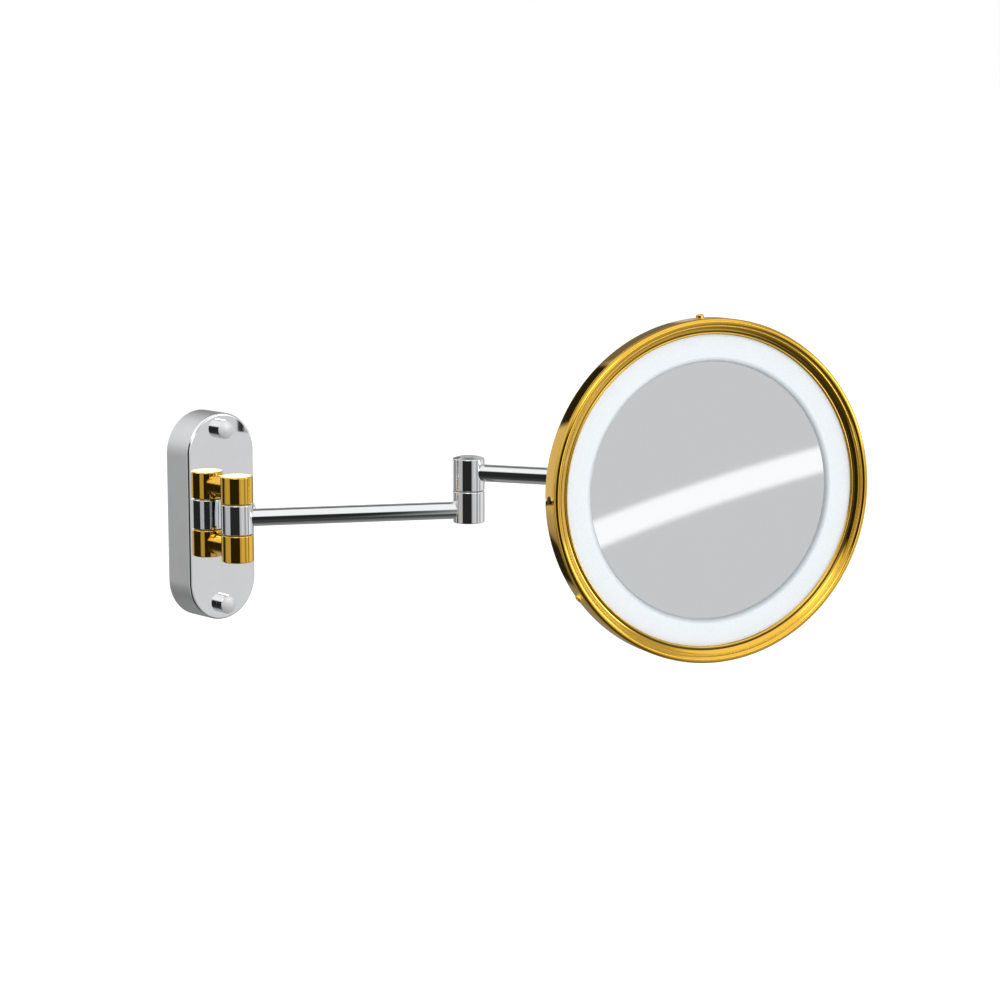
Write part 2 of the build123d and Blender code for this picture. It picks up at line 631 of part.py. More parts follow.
def bracket_screws():
    """Four pan-head screws through the foot into the clamp plate."""
    top = BRACKET_BACK - SCREW_HEAD_HEIGHT
    screw = rod(SCREW_RADIUS, BRACKET_BACK, SHELL_FLOOR + CLAMP_THICKNESS)
    head = rod(SCREW_HEAD_RADIUS, top, BRACKET_BACK)
    head = fillet(head.faces().sort_by(Axis.Z)[0].edges(), 0.9)
    for turn in (0, 90):
        head -= Location((0, 0, top), (0, 0, turn)) * Box(0.7, 3.4, 1.2)
    return Compound(ring_of(screw + head, 4, BRACKET_SCREW_RING, 45))


def clamp_plate():
    """Threaded plate inside the shell, behind the foot."""
    body = ring(BRACKET_BASE_RADIUS, CENTRE_HOLE, SHELL_FLOOR, SHELL_FLOOR + CLAMP_THICKNESS)
    for hole in ring_of(rod(SCREW_RADIUS, -HEAD_DEPTH, 0), 4, BRACKET_SCREW_RING, 45):
        body -= hole
    return body


def tilt_bolt():
    """Bolt across the lugs and the tongue, with a button head."""
    bolt = bar_x(TILT_PIN_RADIUS, -LUG_OUTER, LUG_OUTER + TILT_THREAD, -HEAD_FORWARD)
    head = bar_x(TILT_NUT_RADIUS, -LUG_OUTER - 2.4, -LUG_OUTER, -HEAD_FORWARD)
    return bolt + fillet(head.faces().sort_by(Axis.X)[0].edges(), 1.6)


def tilt_nut():
    """Round domed nut on the tilt bolt."""
    nut = bar_x(TILT_NUT_RADIUS, LUG_OUTER, LUG_OUTER + TILT_THREAD + 1.2, -HEAD_FORWARD)
    nut = fillet(nut.faces().sort_by(Axis.X)[-1].edges(), 2.0)
    return nut - bar_x(TILT_PIN_RADIUS, LUG_OUTER - 1, LUG_OUTER + TILT_THREAD, -HEAD_FORWARD)


def tilt_washers():
    """Friction washers between tongue and lugs."""
    washers = []
    for start in (LUG_INNER - WASHER_THICKNESS, -LUG_INNER):
        washer = bar_x(TONGUE_RADIUS - 0.5, start, start + WASHER_THICKNESS, -HEAD_FORWARD)
        washers.append(washer - bar_x(TILT_PIN_RADIUS, start - 1, start + 1, -HEAD_FORWARD))
    return Compound(washers)


def rear_shell():
    """Spun metal back of the head: side wall, round corner and a slightly raised centre."""
    inside = HEAD_RADIUS - SHELL_WALL
    corner_in = SHELL_CORNER - SHELL_WALL
    flat = HEAD_RADIUS - SHELL_CORNER
    corner_z = -SHELL_SIDE_END
    low_z = corner_z - SHELL_CORNER
    cos45 = math.cos(math.pi / 4)
    with BuildPart() as shell:
        with BuildSketch(Plane.XZ):
            with BuildLine():
                Line((HEAD_RADIUS, -RIM_SEAM), (HEAD_RADIUS, corner_z))
                ThreePointArc(
                    (HEAD_RADIUS, corner_z),
                    (flat + SHELL_CORNER * cos45, corner_z - SHELL_CORNER * cos45),
                    (flat, low_z),
                )
                Line((flat, low_z), (SHELL_FLAT_RADIUS, -HEAD_DEPTH))
                Line((SHELL_FLAT_RADIUS, -HEAD_DEPTH), (CENTRE_HOLE, -HEAD_DEPTH))
                Line((CENTRE_HOLE, -HEAD_DEPTH), (CENTRE_HOLE, SHELL_FLOOR))
                Line((CENTRE_HOLE, SHELL_FLOOR), (SHELL_FLAT_RADIUS, SHELL_FLOOR))
                Line((SHELL_FLAT_RADIUS, SHELL_FLOOR), (flat, low_z + SHELL_WALL))
                ThreePointArc(
                    (flat, low_z + SHELL_WALL),
                    (flat + corner_in * cos45, corner_z - corner_in * cos45),
                    (inside, corner_z),
                )
                Line((inside, corner_z), (inside, -RIM_SEAM))
                Line((inside, -RIM_SEAM), (HEAD_RADIUS, -RIM_SEAM))
            make_face()
        revolve(axis=Axis.Z)
    body = shell.part
    boss_top = -BACKPLATE_FRONT - BACKPLATE_THICKNESS
    boss = rod(BOSS_RADIUS, SHELL_FLOOR - 0.4, boss_top)
    boss -= rod(SMALL_SCREW_RADIUS, SHELL_FLOOR, boss_top + 1)
    for piece in ring_of(boss, 4, BACKPLATE_SCREW_RING, 45):
        body += piece
    drill = rod(SCREW_RADIUS, -HEAD_DEPTH - 1, SHELL_FLOOR + 1)
    for hole in ring_of(drill, 4, BRACKET_SCREW_RING, 45):
        body -= hole
    for angle in RIM_SCREW_ANGLES:
        body -= Rot(0, 0, angle) * rim_screw_cutter()
    seat = HEAD_RADIUS - SIDE_SCREW_SINK
    side = bar_x(SIDE_SCREW_HEAD + 0.2, seat, HEAD_RADIUS + 1, -SIDE_SCREW_BACK)
    side += bar_x(SMALL_SCREW_RADIUS, inside - 1, HEAD_RADIUS, -SIDE_SCREW_BACK)
    return body - Rot(0, 0, SIDE_SCREW_ANGLE) * side


RIM_SCREW_BACK = 6.0
SPIGOT_INNER = 99.7
SPIGOT_OUTER = HEAD_RADIUS - SHELL_WALL - 0.05
SPIGOT_END = 10.0


def rim_screw_cutter():
    """Hole for one rim screw, with a shallow seat for its head."""
    sunk = HEAD_RADIUS - RIM_SCREW_SINK
    seat = bar_x(RIM_SCREW_HEAD + 0.1, sunk, HEAD_RADIUS + 1, -RIM_SCREW_BACK)
    return seat + bar_x(RIM_SCREW_RADIUS, SPIGOT_INNER - 1, HEAD_RADIUS, -RIM_SCREW_BACK)


def front_rim():
    """Gold rim: outer bead, ridge, hollow cove and inner lip, with a spigot inside the shell."""
    bead_middle = (HEAD_RADIUS + RIM_RIDGE_RADIUS) / 2
    lip = RIM_INNER_RADIUS
    with BuildPart() as rim:
        with BuildSketch(Plane.XZ):
            with BuildLine():
                Line((HEAD_RADIUS, -RIM_SEAM), (HEAD_RADIUS, -0.4))
                ThreePointArc((HEAD_RADIUS, -0.4), (bead_middle, 1.3), (RIM_RIDGE_RADIUS, -0.6))
                Line((RIM_RIDGE_RADIUS, -0.6), (RIM_RIDGE_RADIUS - 0.5, -0.2))
                ThreePointArc(
                    (RIM_RIDGE_RADIUS - 0.5, -0.2), (lip + 3.6, -2.0), (lip + 1.6, -2.9)
                )
                ThreePointArc((lip + 1.6, -2.9), (lip + 0.6, -2.7), (lip, -RIM_INNER_BACK))
                Line((lip, -RIM_INNER_BACK), (lip, -DIFFUSER_FRONT))
                Line((lip, -DIFFUSER_FRONT), (SPIGOT_INNER, -DIFFUSER_FRONT))
                Line((SPIGOT_INNER, -DIFFUSER_FRONT), (SPIGOT_INNER, -SPIGOT_END))
                Line((SPIGOT_INNER, -SPIGOT_END), (SPIGOT_OUTER, -SPIGOT_END))
                Line((SPIGOT_OUTER, -SPIGOT_END), (SPIGOT_OUTER, -RIM_SEAM))
                Line((SPIGOT_OUTER, -RIM_SEAM), (HEAD_RADIUS, -RIM_SEAM))
            make_face()
        revolve(axis=Axis.Z)
    body = rim.part
    for angle in RIM_SCREW_ANGLES:
        body -= Rot(0, 0, angle) * rim_screw_cutter()
    side = bar_x(SMALL_SCREW_RADIUS, SPIGOT_INNER - 1, HEAD_RADIUS, -SIDE_SCREW_BACK)
    return body - Rot(0, 0, SIDE_SCREW_ANGLE) * side


def rim_screws():
    """Three small round-headed screws through the shell into the rim."""
    sunk = HEAD_RADIUS - RIM_SCREW_SINK
    proud = HEAD_RADIUS + RIM_SCREW_PROUD
    shank = bar_x(RIM_SCREW_RADIUS, SPIGOT_INNER, sunk, -RIM_SCREW_BACK)
    head = bar_x(RIM_SCREW_HEAD, sunk, proud, -RIM_SCREW_BACK)
    head = fillet(head.faces().sort_by(Axis.X)[-1].edges(), 0.6)
    head -= Pos(proud, 0, -RIM_SCREW_BACK) * Box(0.8, 0.5, 5)
    return Compound([Rot(0, 0, angle) * (shank + head) for angle in RIM_SCREW_ANGLES])


def side_screw():
    """Socket screw sunk in the side wall, level with the middle of the head."""
    seat = HEAD_RADIUS - SIDE_SCREW_SINK
    body = bar_x(SMALL_SCREW_RADIUS, SPIGOT_INNER, seat, -SIDE_SCREW_BACK)
    body += bar_x(SIDE_SCREW_HEAD, seat, HEAD_RADIUS + 0.5, -SIDE_SCREW_BACK)
    key = Location((HEAD_RADIUS - 0.5, 0, -SIDE_SCREW_BACK), (0, 90, 0))
    body -= key * extrude(RegularPolygon(1.5, 6), 3)
    return Rot(0, 0, SIDE_SCREW_ANGLE) * body


def mirror_surface(radius, offset):
    """Height of the dished mirror's front at a radius, moved back by an offset."""
    rim_sag = MIRROR_CURVE - math.sqrt(MIRROR_CURVE**2 - MIRROR_RADIUS**2)
    sag = MIRROR_CURVE - math.sqrt(MIRROR_CURVE**2 - radius**2)
    return -MIRROR_EDGE_BACK - rim_sag + sag - offset


def mirror_glass():
    """Dished magnifying mirror."""
    edge = MIRROR_RADIUS
    half = edge / 2
    back = MIRROR_THICKNESS
    with BuildPart() as glass:
        with BuildSketch(Plane.XZ):
            with BuildLine():
                front = [(r, mirror_surface(r, 0)) for r in (0, half, edge)]
                rear = [(r, mirror_surface(r, back)) for r in (edge, half, 0)]
                ThreePointArc(*front)
                Line(front[-1], rear[0])
                ThreePointArc(*rear)
                Line(rear[-1], front[0])
            make_face()
        revolve(axis=Axis.Z)
    return glass.part


def diffuser_ring():
    """Opal ring in front of the lamps, rolled down to the mirror's edge."""
    front = -DIFFUSER_FRONT
    back = front - DIFFUSER_THICKNESS
    inner = DIFFUSER_INNER
    outer = SPIGOT_INNER - 0.2
    roll = DIFFUSER_ROLL
    skirt = DIFFUSER_SKIRT
    with BuildPart() as diffuser:
        with BuildSketch(Plane.XZ):
            with BuildLine():
                Line((outer, back), (outer, front))
                Line((outer, front), (inner + roll, front))
                ThreePointArc(
                    (inner + roll, front), (inner + 0.88, front - 0.88), (inner, front - roll)
                )
                Line((inner, front - roll), (inner, -DIFFUSER_SKIRT_END))
                Line((inner, -DIFFUSER_SKIRT_END), (inner + skirt, -DIFFUSER_SKIRT_END))
                Line((inner + skirt, -DIFFUSER_SKIRT_END), (inner + skirt, front - roll))
                ThreePointArc(
                    (inner + skirt, front - roll), (inner + 2, back - 0.5), (inner + roll, back)
                )
                Line((inner + roll, back), (outer, back))
            make_face()
        revolve(axis=Axis.Z)
    return diffuser.part


def mirror_seat():
    """Ring that carries the mirror on the lamp plate."""
    top = mirror_surface(SEAT_INNER, MIRROR_THICKNESS + 0.05)
    return ring(DIFFUSER_INNER - 0.2, SEAT_INNER, -BACKPLATE_FRONT, top)


def led_backplate():
    """Aluminium plate that carries the lamp board and the mirror seat."""
    start = -BACKPLATE_FRONT - BACKPLATE_THICKNESS
    body = ring(BACKPLATE_RADIUS, BACKPLATE_BORE, start, -BACKPLATE_FRONT)
    drill = rod(SMALL_SCREW_RADIUS + 0.3, start - 1, 0)
    for hole in ring_of(drill, 4, BACKPLATE_SCREW_RING, 45):
        body -= hole
    return body


def backplate_screws():
    """Four screws that hold the lamp plate on the shell's bosses."""
    start = -BACKPLATE_FRONT - BACKPLATE_THICKNESS - BOSS_THREAD
    screw = rod(SMALL_SCREW_RADIUS, start, -BACKPLATE_FRONT)
    screw += rod(2 * SMALL_SCREW_RADIUS, -BACKPLATE_FRONT, -BACKPLATE_FRONT + 1.4)
    return Compound(ring_of(screw, 4, BACKPLATE_SCREW_RING, 45))


def led_board():
    """Ring-shaped circuit board."""
    return ring(BOARD_OUTER, BOARD_INNER, -BACKPLATE_FRONT, -BACKPLATE_FRONT + BOARD_THICKNESS)


def led_chips():
    """Lamps on the board."""
    base = -BACKPLATE_FRONT + BOARD_THICKNESS
    chip = Pos(0, 0, base) * Box(2.8, 3.5, 0.8, align=BASE)
    return Compound(ring_of(chip, LED_COUNT, LED_RING_RADIUS))


def reflector_ring():
    """White liner round the outside of the lamp channel."""
    inner = BACKPLATE_RADIUS + 0.1
    return ring(inner + 1.0, inner, -BACKPLATE_FRONT, -DIFFUSER_FRONT - DIFFUSER_THICKNESS)


WALL_PARTS = (
    wall_bracket, bracket_studs, wall_box_cover, cap_nuts, hinge_knuckle_upper,
    hinge_knuckle_lower, hinge_pin, hinge_plug, hinge_washers, stem_washers, stem_nuts,
    cable_grommet, terminal_block, led_driver, driver_leads, switch_body, switch_collar,
    switch_nut, switch_button, switch_spring,
)
ARM_1_PARTS = (arm_1_barrel, elbow_lower, elbow_slip_washer, elbow_plug)
ARM_2_PARTS = (elbow_upper, elbow_pin, elbow_nut, elbow_spring_washer, arm_2_end_barrel)
SWIVEL_PARTS = (swivel_yoke, swivel_pin, swivel_washers)
HEAD_PARTS = (
    head_bracket, bracket_screws, clamp_plate, tilt_bolt, tilt_nut, tilt_washers, rear_shell,
    front_rim, rim_screws, side_screw, mirror_glass, diffuser_ring, mirror_seat, led_backplate,
    backplate_screws, led_board, led_chips, reflector_ring,
)

for make in WALL_PARTS:
    export_part(make.__name__, make())
for place, makers in (
    (ARM_1_PLACE, ARM_1_PARTS),
    (ARM_2_PLACE, ARM_2_PARTS),
    (SWIVEL_PLACE, SWIVEL_PARTS),
    (HEAD_PLACE, HEAD_PARTS),
):
    for make in makers:
        export_part(make.__name__, place * make())
export_part("arm_1_tube", ARM_1_PLACE * tube(ARM_1_LENGTH, ARM_1_HEIGHT))
export_part("arm_1_lead", ARM_1_PLACE * lead(ARM_1_LENGTH, ARM_1_HEIGHT))
export_part("arm_2_tube", ARM_2_PLACE * tube(ARM_2_LENGTH, ARM_2_HEIGHT))
export_part("arm_2_lead", ARM_2_PLACE * lead(ARM_2_LENGTH, ARM_2_HEIGHT))

print("elbow", ELBOW_POINT, "pan pin", PAN_POINT, "tilt bolt", TILT_POINT, "head", HEAD_POINT)
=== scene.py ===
import json
import logging
import math
from collections.abc import Callable, Sequence
from dataclasses import dataclass
from enum import Enum

import bpy
from mathutils import Matrix, Vector

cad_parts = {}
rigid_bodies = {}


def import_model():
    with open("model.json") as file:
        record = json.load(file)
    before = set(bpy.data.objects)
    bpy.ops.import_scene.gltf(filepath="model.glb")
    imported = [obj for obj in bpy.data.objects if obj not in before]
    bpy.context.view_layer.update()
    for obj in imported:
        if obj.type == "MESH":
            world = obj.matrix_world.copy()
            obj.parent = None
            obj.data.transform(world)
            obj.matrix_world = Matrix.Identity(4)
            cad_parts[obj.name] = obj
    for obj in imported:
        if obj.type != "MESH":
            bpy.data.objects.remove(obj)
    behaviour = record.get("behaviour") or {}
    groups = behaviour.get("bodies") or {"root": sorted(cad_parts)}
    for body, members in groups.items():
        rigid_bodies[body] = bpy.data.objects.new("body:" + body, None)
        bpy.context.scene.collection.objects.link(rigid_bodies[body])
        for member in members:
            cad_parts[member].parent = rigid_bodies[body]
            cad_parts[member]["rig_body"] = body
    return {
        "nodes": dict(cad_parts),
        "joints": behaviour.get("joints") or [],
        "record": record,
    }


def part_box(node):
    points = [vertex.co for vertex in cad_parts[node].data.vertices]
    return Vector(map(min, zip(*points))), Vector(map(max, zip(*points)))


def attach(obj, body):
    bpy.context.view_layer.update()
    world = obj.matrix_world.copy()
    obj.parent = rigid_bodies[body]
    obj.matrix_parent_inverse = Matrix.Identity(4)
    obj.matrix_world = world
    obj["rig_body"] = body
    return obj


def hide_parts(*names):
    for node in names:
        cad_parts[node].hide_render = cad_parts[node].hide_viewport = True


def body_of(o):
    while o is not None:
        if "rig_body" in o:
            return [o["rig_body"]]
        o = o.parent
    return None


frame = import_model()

LOG = logging.getLogger("shaving_mirror")
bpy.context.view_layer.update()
MM = 0.001
UP = Vector((0.0, 0.0, 1.0))
RIGHT = Vector((1.0, 0.0, 0.0))
OUTWARD = Vector((0.0, -1.0, 0.0))
Triple = tuple[float, float, float]
Colour = Triple
Socket = bpy.types.NodeSocket
TEST_MARGIN = 0.05  # keeps the choice of faces clear of an edge, in millimetres


class Body(Enum):
    """The bodies that move on their own."""

    WALL_BOX = "wall_box"
    SWITCH_BUTTON = "switch_button"
    ARM_1 = "arm_1"
    ARM_2 = "arm_2"
    SWIVEL = "swivel"
    HEAD = "head"


class Slot(Enum):
    """The record's material slots."""

    CHROME = "chrome"
    GOLD = "gold"
    ZINC_STEEL = "zinc_steel"
    DARK_STEEL = "dark_steel"
    ALUMINIUM = "aluminium"
    WHITE_NYLON = "white_nylon"
    BLACK_PLASTIC = "black_plastic"
    BLACK_RUBBER = "black_rubber"
    LEAD_SHEATH = "lead_sheath"
    BUTTON_WHITE = "button_white"
    OPAL = "opal"
    MIRROR = "mirror"
    BOARD_WHITE = "board_white"
    LAMP = "lamp"


# ------------------------------------------------------------------ places and turned shapes
ON_AXIS = 1e-6  # a point nearer to the axis than this lies on it
STRAIGHT = 0.02  # a smaller turn than this, in radians, gets no rounding
SIDE_SHARE = 0.48  # the most of a side that the rounding at one end may take
ROUNDING_STEP = math.radians(14)
ROUNDING_LEAST = 3


@dataclass(frozen=True)
class Place:
    """A local frame in the shared frame: where it is, and where its X and Z axes point."""

    origin: Vector
    x_axis: Vector
    z_axis: Vector

    def matrix(self) -> Matrix:
        """The local frame as a matrix.

        Returns:
            The matrix that takes local places into the shared frame.
        """
        columns = (self.x_axis, self.z_axis.cross(self.x_axis), self.z_axis, self.origin)
        rows = [[column[i] for column in columns] for i in range(3)]
        return Matrix((*rows, (0.0, 0.0, 0.0, 1.0)))

    def shifted(self, y: float) -> "Place":
        """The same axes at an origin moved along the local Y axis, in millimetres."""
        y_axis = self.z_axis.cross(self.x_axis)
        return Place(self.origin + y_axis * y * MM, self.x_axis, self.z_axis)


@dataclass(frozen=True)
class Corner:
    """A corner of a turned section, in millimetres.

    A corner has a rounding radius. With flow set, the point lies on a curve and stays as it is.
    """

    radius: float
    height: float
    rounding: float = 0.1
    flow: bool = False


@dataclass(frozen=True)
class OutlinePoint:
    """A point of a finished section with the direction that its surface faces there."""

    radius: float
    height: float
    out: float
    up: float


def arc(
    centre: tuple[float, float], radius: float, start: float, end: float, steps: int
) -> list[Corner]:
    """Points on a circular stretch of a section.

    Args:
        centre: The circle's centre, as distance from the axis and height.
        radius: The circle's radius.
        start: First angle in degrees, 0 away from the axis and 90 upwards.
        end: Last angle in degrees.
        steps: Number of stretches between the points.

    Returns:
        Corners that flow along the circle.
    """
    points = []
    for i in range(steps + 1):
        angle = math.radians(start + (end - start) * i / steps)
        across = centre[0] + radius * math.cos(angle)
        points.append(Corner(max(across, 0.0), centre[1] + radius * math.sin(angle), flow=True))
    return points


def trace(corners: Sequence[Corner], closed: bool) -> list[OutlinePoint]:
    """Rounds a section's corners and finds which way its surface faces at each point.

    Args:
        corners: The section, anticlockwise with the axis on its left.
        closed: True for a ring's section, which never meets the axis.

    Returns:
        The section's points in the same order.
    """
    places = [Vector((c.radius, c.height)) for c in corners]
    count = len(corners)
    points = []
    for i, corner in enumerate(corners):
        here = places[i]
        before = places[i - 1] if closed or i else None
        after = places[(i + 1) % count] if closed or i < count - 1 else None
        arriving = (here - before).normalized() if before is not None else None
        leaving = (after - here).normalized() if after is not None else arriving
        arriving = arriving if arriving is not None else leaving
        facing_in = Vector((arriving.y, -arriving.x))
        facing_out = Vector((leaving.y, -leaving.x))
        turn = math.atan2(arriving.cross(leaving), arriving.dot(leaving))
        if before is None or after is None or corner.flow or abs(turn) < STRAIGHT:
            mid = (facing_in + facing_out).normalized()
            if corner.radius < ON_AXIS:
                mid = Vector((0.0, math.copysign(1.0, mid.y)))
            points.append(OutlinePoint(here.x, here.y, mid.x, mid.y))
            continue
        share = math.tan(abs(turn) / 2)
        room = SIDE_SHARE * min((here - before).length, (after - here).length)
        cut = min(corner.rounding * share, room)
        bend = math.copysign(cut / share, turn)
        middle = here - arriving * cut - facing_in * bend
        steps = max(ROUNDING_LEAST, math.ceil(abs(turn) / ROUNDING_STEP))
        start = math.atan2(facing_in.y, facing_in.x)
        for step in range(steps + 1):
            angle = start + turn * step / steps
            face = Vector((math.cos(angle), math.sin(angle)))
            spot = middle + face * bend
            points.append(OutlinePoint(spot.x, spot.y, face.x, face.y))
    return points


def ring_angles(sides: int, spread: float) -> list[tuple[float, float]]:
    """Angles round a turned piece, with the shift of each along local Y.

    Args:
        sides: Number of sides, a multiple of four.
        spread: Half the length of an obround's straight sides, or zero for a round piece.

    Returns:
        Pairs of angle in radians and shift in millimetres.
    """
    step = 2 * math.pi / sides
    if spread == 0.0:
        return [(i * step, 0.0) for i in range(sides)]
    upper = [(i * step, spread) for i in range(sides // 2 + 1)]
    lower = [(i * step, -spread) for i in range(sides // 2, sides + 1)]
    return upper + lower


def turned(
    name: str,
    place: Place,
    corners: Sequence[Corner],
    closed: bool = False,
    spread: float = 0.0,
    sides: int = 96,
) -> bpy.types.Object:
    """Makes a piece by turning a section round a place's Z axis, with true surface directions.

    Args:
        name: The piece's name.
        place: Local frame whose Z axis is the turning axis.
        corners: The section, anticlockwise with the axis on its left.
        closed: True for a ring's section.
        spread: Half the straight length of an obround piece, along local Y.
        sides: Number of sides.

    Returns:
        The new object, standing at its place.
    """
    outline = trace(corners, closed)
    angles = ring_angles(sides, spread)
    vertices: list[Triple] = []
    normals: list[Triple] = []
    rows: list[list[int]] = []
    for point in outline:
        row = []
        known: dict[float, int] = {}
        for angle, shift in angles:
            if point.radius < ON_AXIS and shift in known:
                row.append(known[shift])
                continue
            cos, sin = math.cos(angle), math.sin(angle)
            known[shift] = len(vertices)
            row.append(len(vertices))
            across = (point.radius * cos, point.radius * sin + shift, point.height)
            vertices.append(tuple(value * MM for value in across))
            normals.append((point.out * cos, point.out * sin, point.up))
        rows.append(row)
    faces = []
    count = len(angles)
    last = len(rows) if closed else len(rows) - 1
    for k in range(last):
        near, far = rows[k], rows[(k + 1) % len(rows)]
        for i in range(count):
            j = (i + 1) % count
            face = list(dict.fromkeys((near[i], near[j], far[j], far[i])))
            if len(face) > 2:
                faces.append(face)
    mesh = bpy.data.meshes.new(name)
    mesh.from_pydata(vertices, [], faces)
    mesh.shade_smooth()
    mesh.normals_split_custom_set_from_vertices(normals)
    piece = bpy.data.objects.new(name, mesh)
    bpy.context.scene.collection.objects.link(piece)
    piece.matrix_world = place.matrix()
    return piece


def cylinder_section(radius: float, low: float, high: float, rounding: float) -> list[Corner]:
    """Section of a solid cylinder with rounded rims, in millimetres."""
    return [
        Corner(0.0, low),
        Corner(radius, low, rounding),
        Corner(radius, high, rounding),
        Corner(0.0, high),
    ]


def tube_section(
    outer: float, inner: float, low: float, high: float, rounding: float
) -> list[Corner]:
    """Section of a tube with rounded rims, in millimetres."""
    return [
        Corner(inner, low, rounding),
        Corner(outer, low, rounding),
        Corner(outer, high, rounding),
        Corner(inner, high, rounding),
    ]


# ------------------------------------------------------------------ node trees of the finishes
NOISE_LOW = 0.3  # nearly all of the noise lies between these two values
NOISE_HIGH = 0.7
PATCH_OCTAVES = 3.0
GRAIN_OCTAVES = 2.0
COAT_ROUGHNESS = 0.05


class NodeSketch:
    """Short calls that add nodes to a tree and join them."""

    def __init__(self, tree: bpy.types.NodeTree) -> None:
        """Clears the tree for drawing."""
        self.tree = tree
        tree.nodes.clear()

    def node(self, kind: str, **settings: object) -> bpy.types.Node:
        """Adds a node.

        Args:
            kind: The node's type.
            settings: Its properties.

        Returns:
            The node.
        """
        made = self.tree.nodes.new(kind)
        for key, value in settings.items():
            setattr(made, key, value)
        return made

    def join(self, source: Socket, target: Socket) -> None:
        """Links two sockets."""
        self.tree.links.new(source, target)

    def noise(
        self, scale: float, detail: float, stretch: Triple = (1, 1, 1)
    ) -> Socket:
        """Noise in the piece's own coordinates.

        Args:
            scale: Features per metre.
            detail: Octaves.
            stretch: Factors on the three local axes.

        Returns:
            The noise value's socket, from 0 to 1.
        """
        place = self.node("ShaderNodeTexCoord")
        mapping = self.node("ShaderNodeMapping")
        mapping.inputs["Scale"].default_value = stretch
        texture = self.node("ShaderNodeTexNoise")
        texture.inputs["Scale"].default_value = scale
        texture.inputs["Detail"].default_value = detail
        self.join(place.outputs["Object"], mapping.inputs["Vector"])
        self.join(mapping.outputs["Vector"], texture.inputs["Vector"])
        return texture.outputs["Fac"]

    def span(
        self, source: Socket, low: float, high: float
    ) -> Socket:
        """Spreads a noise value over a range of numbers.

        Args:
            source: The noise value.
            low: The number where the noise is low.
            high: The number where it is high.

        Returns:
            The number's socket.
        """
        spread = self.node("ShaderNodeMapRange")
        spread.inputs["From Min"].default_value = NOISE_LOW
        spread.inputs["From Max"].default_value = NOISE_HIGH
        spread.inputs["To Min"].default_value = low
        spread.inputs["To Max"].default_value = high
        self.join(source, spread.inputs["Value"])
        return spread.outputs["Result"]

    def tint(
        self, source: Socket, first: Colour, second: Colour
    ) -> Socket:
        """Turns a noise value into colours between two.

        Args:
            source: The noise value.
            first: The colour where the noise is low.
            second: The colour where it is high.

        Returns:
            The colour's socket.
        """
        ramp = self.node("ShaderNodeValToRGB")
        ramp.color_ramp.elements[0].position = NOISE_LOW
        ramp.color_ramp.elements[1].position = NOISE_HIGH
        ramp.color_ramp.elements[0].color = (*first, 1.0)
        ramp.color_ramp.elements[1].color = (*second, 1.0)
        self.join(source, ramp.inputs["Fac"])
        return ramp.outputs["Color"]

    def bump(self, source: Socket, depth: float) -> Socket:
        """Turns a noise value into relief.

        Args:
            source: The noise value.
            depth: The relief's depth in metres.

        Returns:
            The surface direction's socket.
        """
        relief = self.node("ShaderNodeBump")
        relief.inputs["Strength"].default_value = 1.0
        relief.inputs["Distance"].default_value = depth
        self.join(source, relief.inputs["Height"])
        return relief.outputs["Normal"]


def shaded(colour: Colour, factor: float) -> Colour:
    """A colour made lighter or darker."""
    return (colour[0] * factor, colour[1] * factor, colour[2] * factor)


@dataclass(frozen=True)
class Finish:
    """A procedural surface finish.

    Colour wanders in patches between the colour and a shade of it, and roughness with the grain
    between roughness and roughness plus haze. The scales are features per metre.
    """

    name: str
    colour: Colour
    metallic: float = 0.0
    roughness: float = 0.3
    haze: float = 0.05
    shade: float = 0.94
    patch_scale: float = 60.0
    grain_scale: float = 1500.0
    grain_depth: float = 0.000002
    stretch: Triple = (1.0, 1.0, 1.0)
    coat: float = 0.0
    glow: float = 0.0
    subsurface: float = 0.0

    def material(self) -> bpy.types.Material:
        """The finish as a material, made once.

        Returns:
            The material.
        """
        known = bpy.data.materials.get(self.name)
        if known is not None:
            return known
        made = bpy.data.materials.new(self.name)
        made.use_nodes = True
        sketch = NodeSketch(made.node_tree)
        output = sketch.node("ShaderNodeOutputMaterial")
        shader = sketch.node("ShaderNodeBsdfPrincipled")
        patches = sketch.noise(self.patch_scale, PATCH_OCTAVES)
        grain = sketch.noise(self.grain_scale, GRAIN_OCTAVES, self.stretch)
        tinted = sketch.tint(patches, self.colour, shaded(self.colour, self.shade))
        sketch.join(tinted, shader.inputs["Base Color"])
        sketch.join(
            sketch.span(grain, self.roughness, self.roughness + self.haze),
            shader.inputs["Roughness"],
        )
        sketch.join(sketch.bump(grain, self.grain_depth), shader.inputs["Normal"])
        shader.inputs["Metallic"].default_value = self.metallic
        shader.inputs["Coat Weight"].default_value = self.coat
        shader.inputs["Coat Roughness"].default_value = COAT_ROUGHNESS
        shader.inputs["Subsurface Weight"].default_value = self.subsurface
        if self.glow > 0.0:
            shader.inputs["Emission Color"].default_value = (*self.colour, 1.0)
            shader.inputs["Emission Strength"].default_value = self.glow
        sketch.join(shader.outputs["BSDF"], output.inputs["Surface"])
        return made


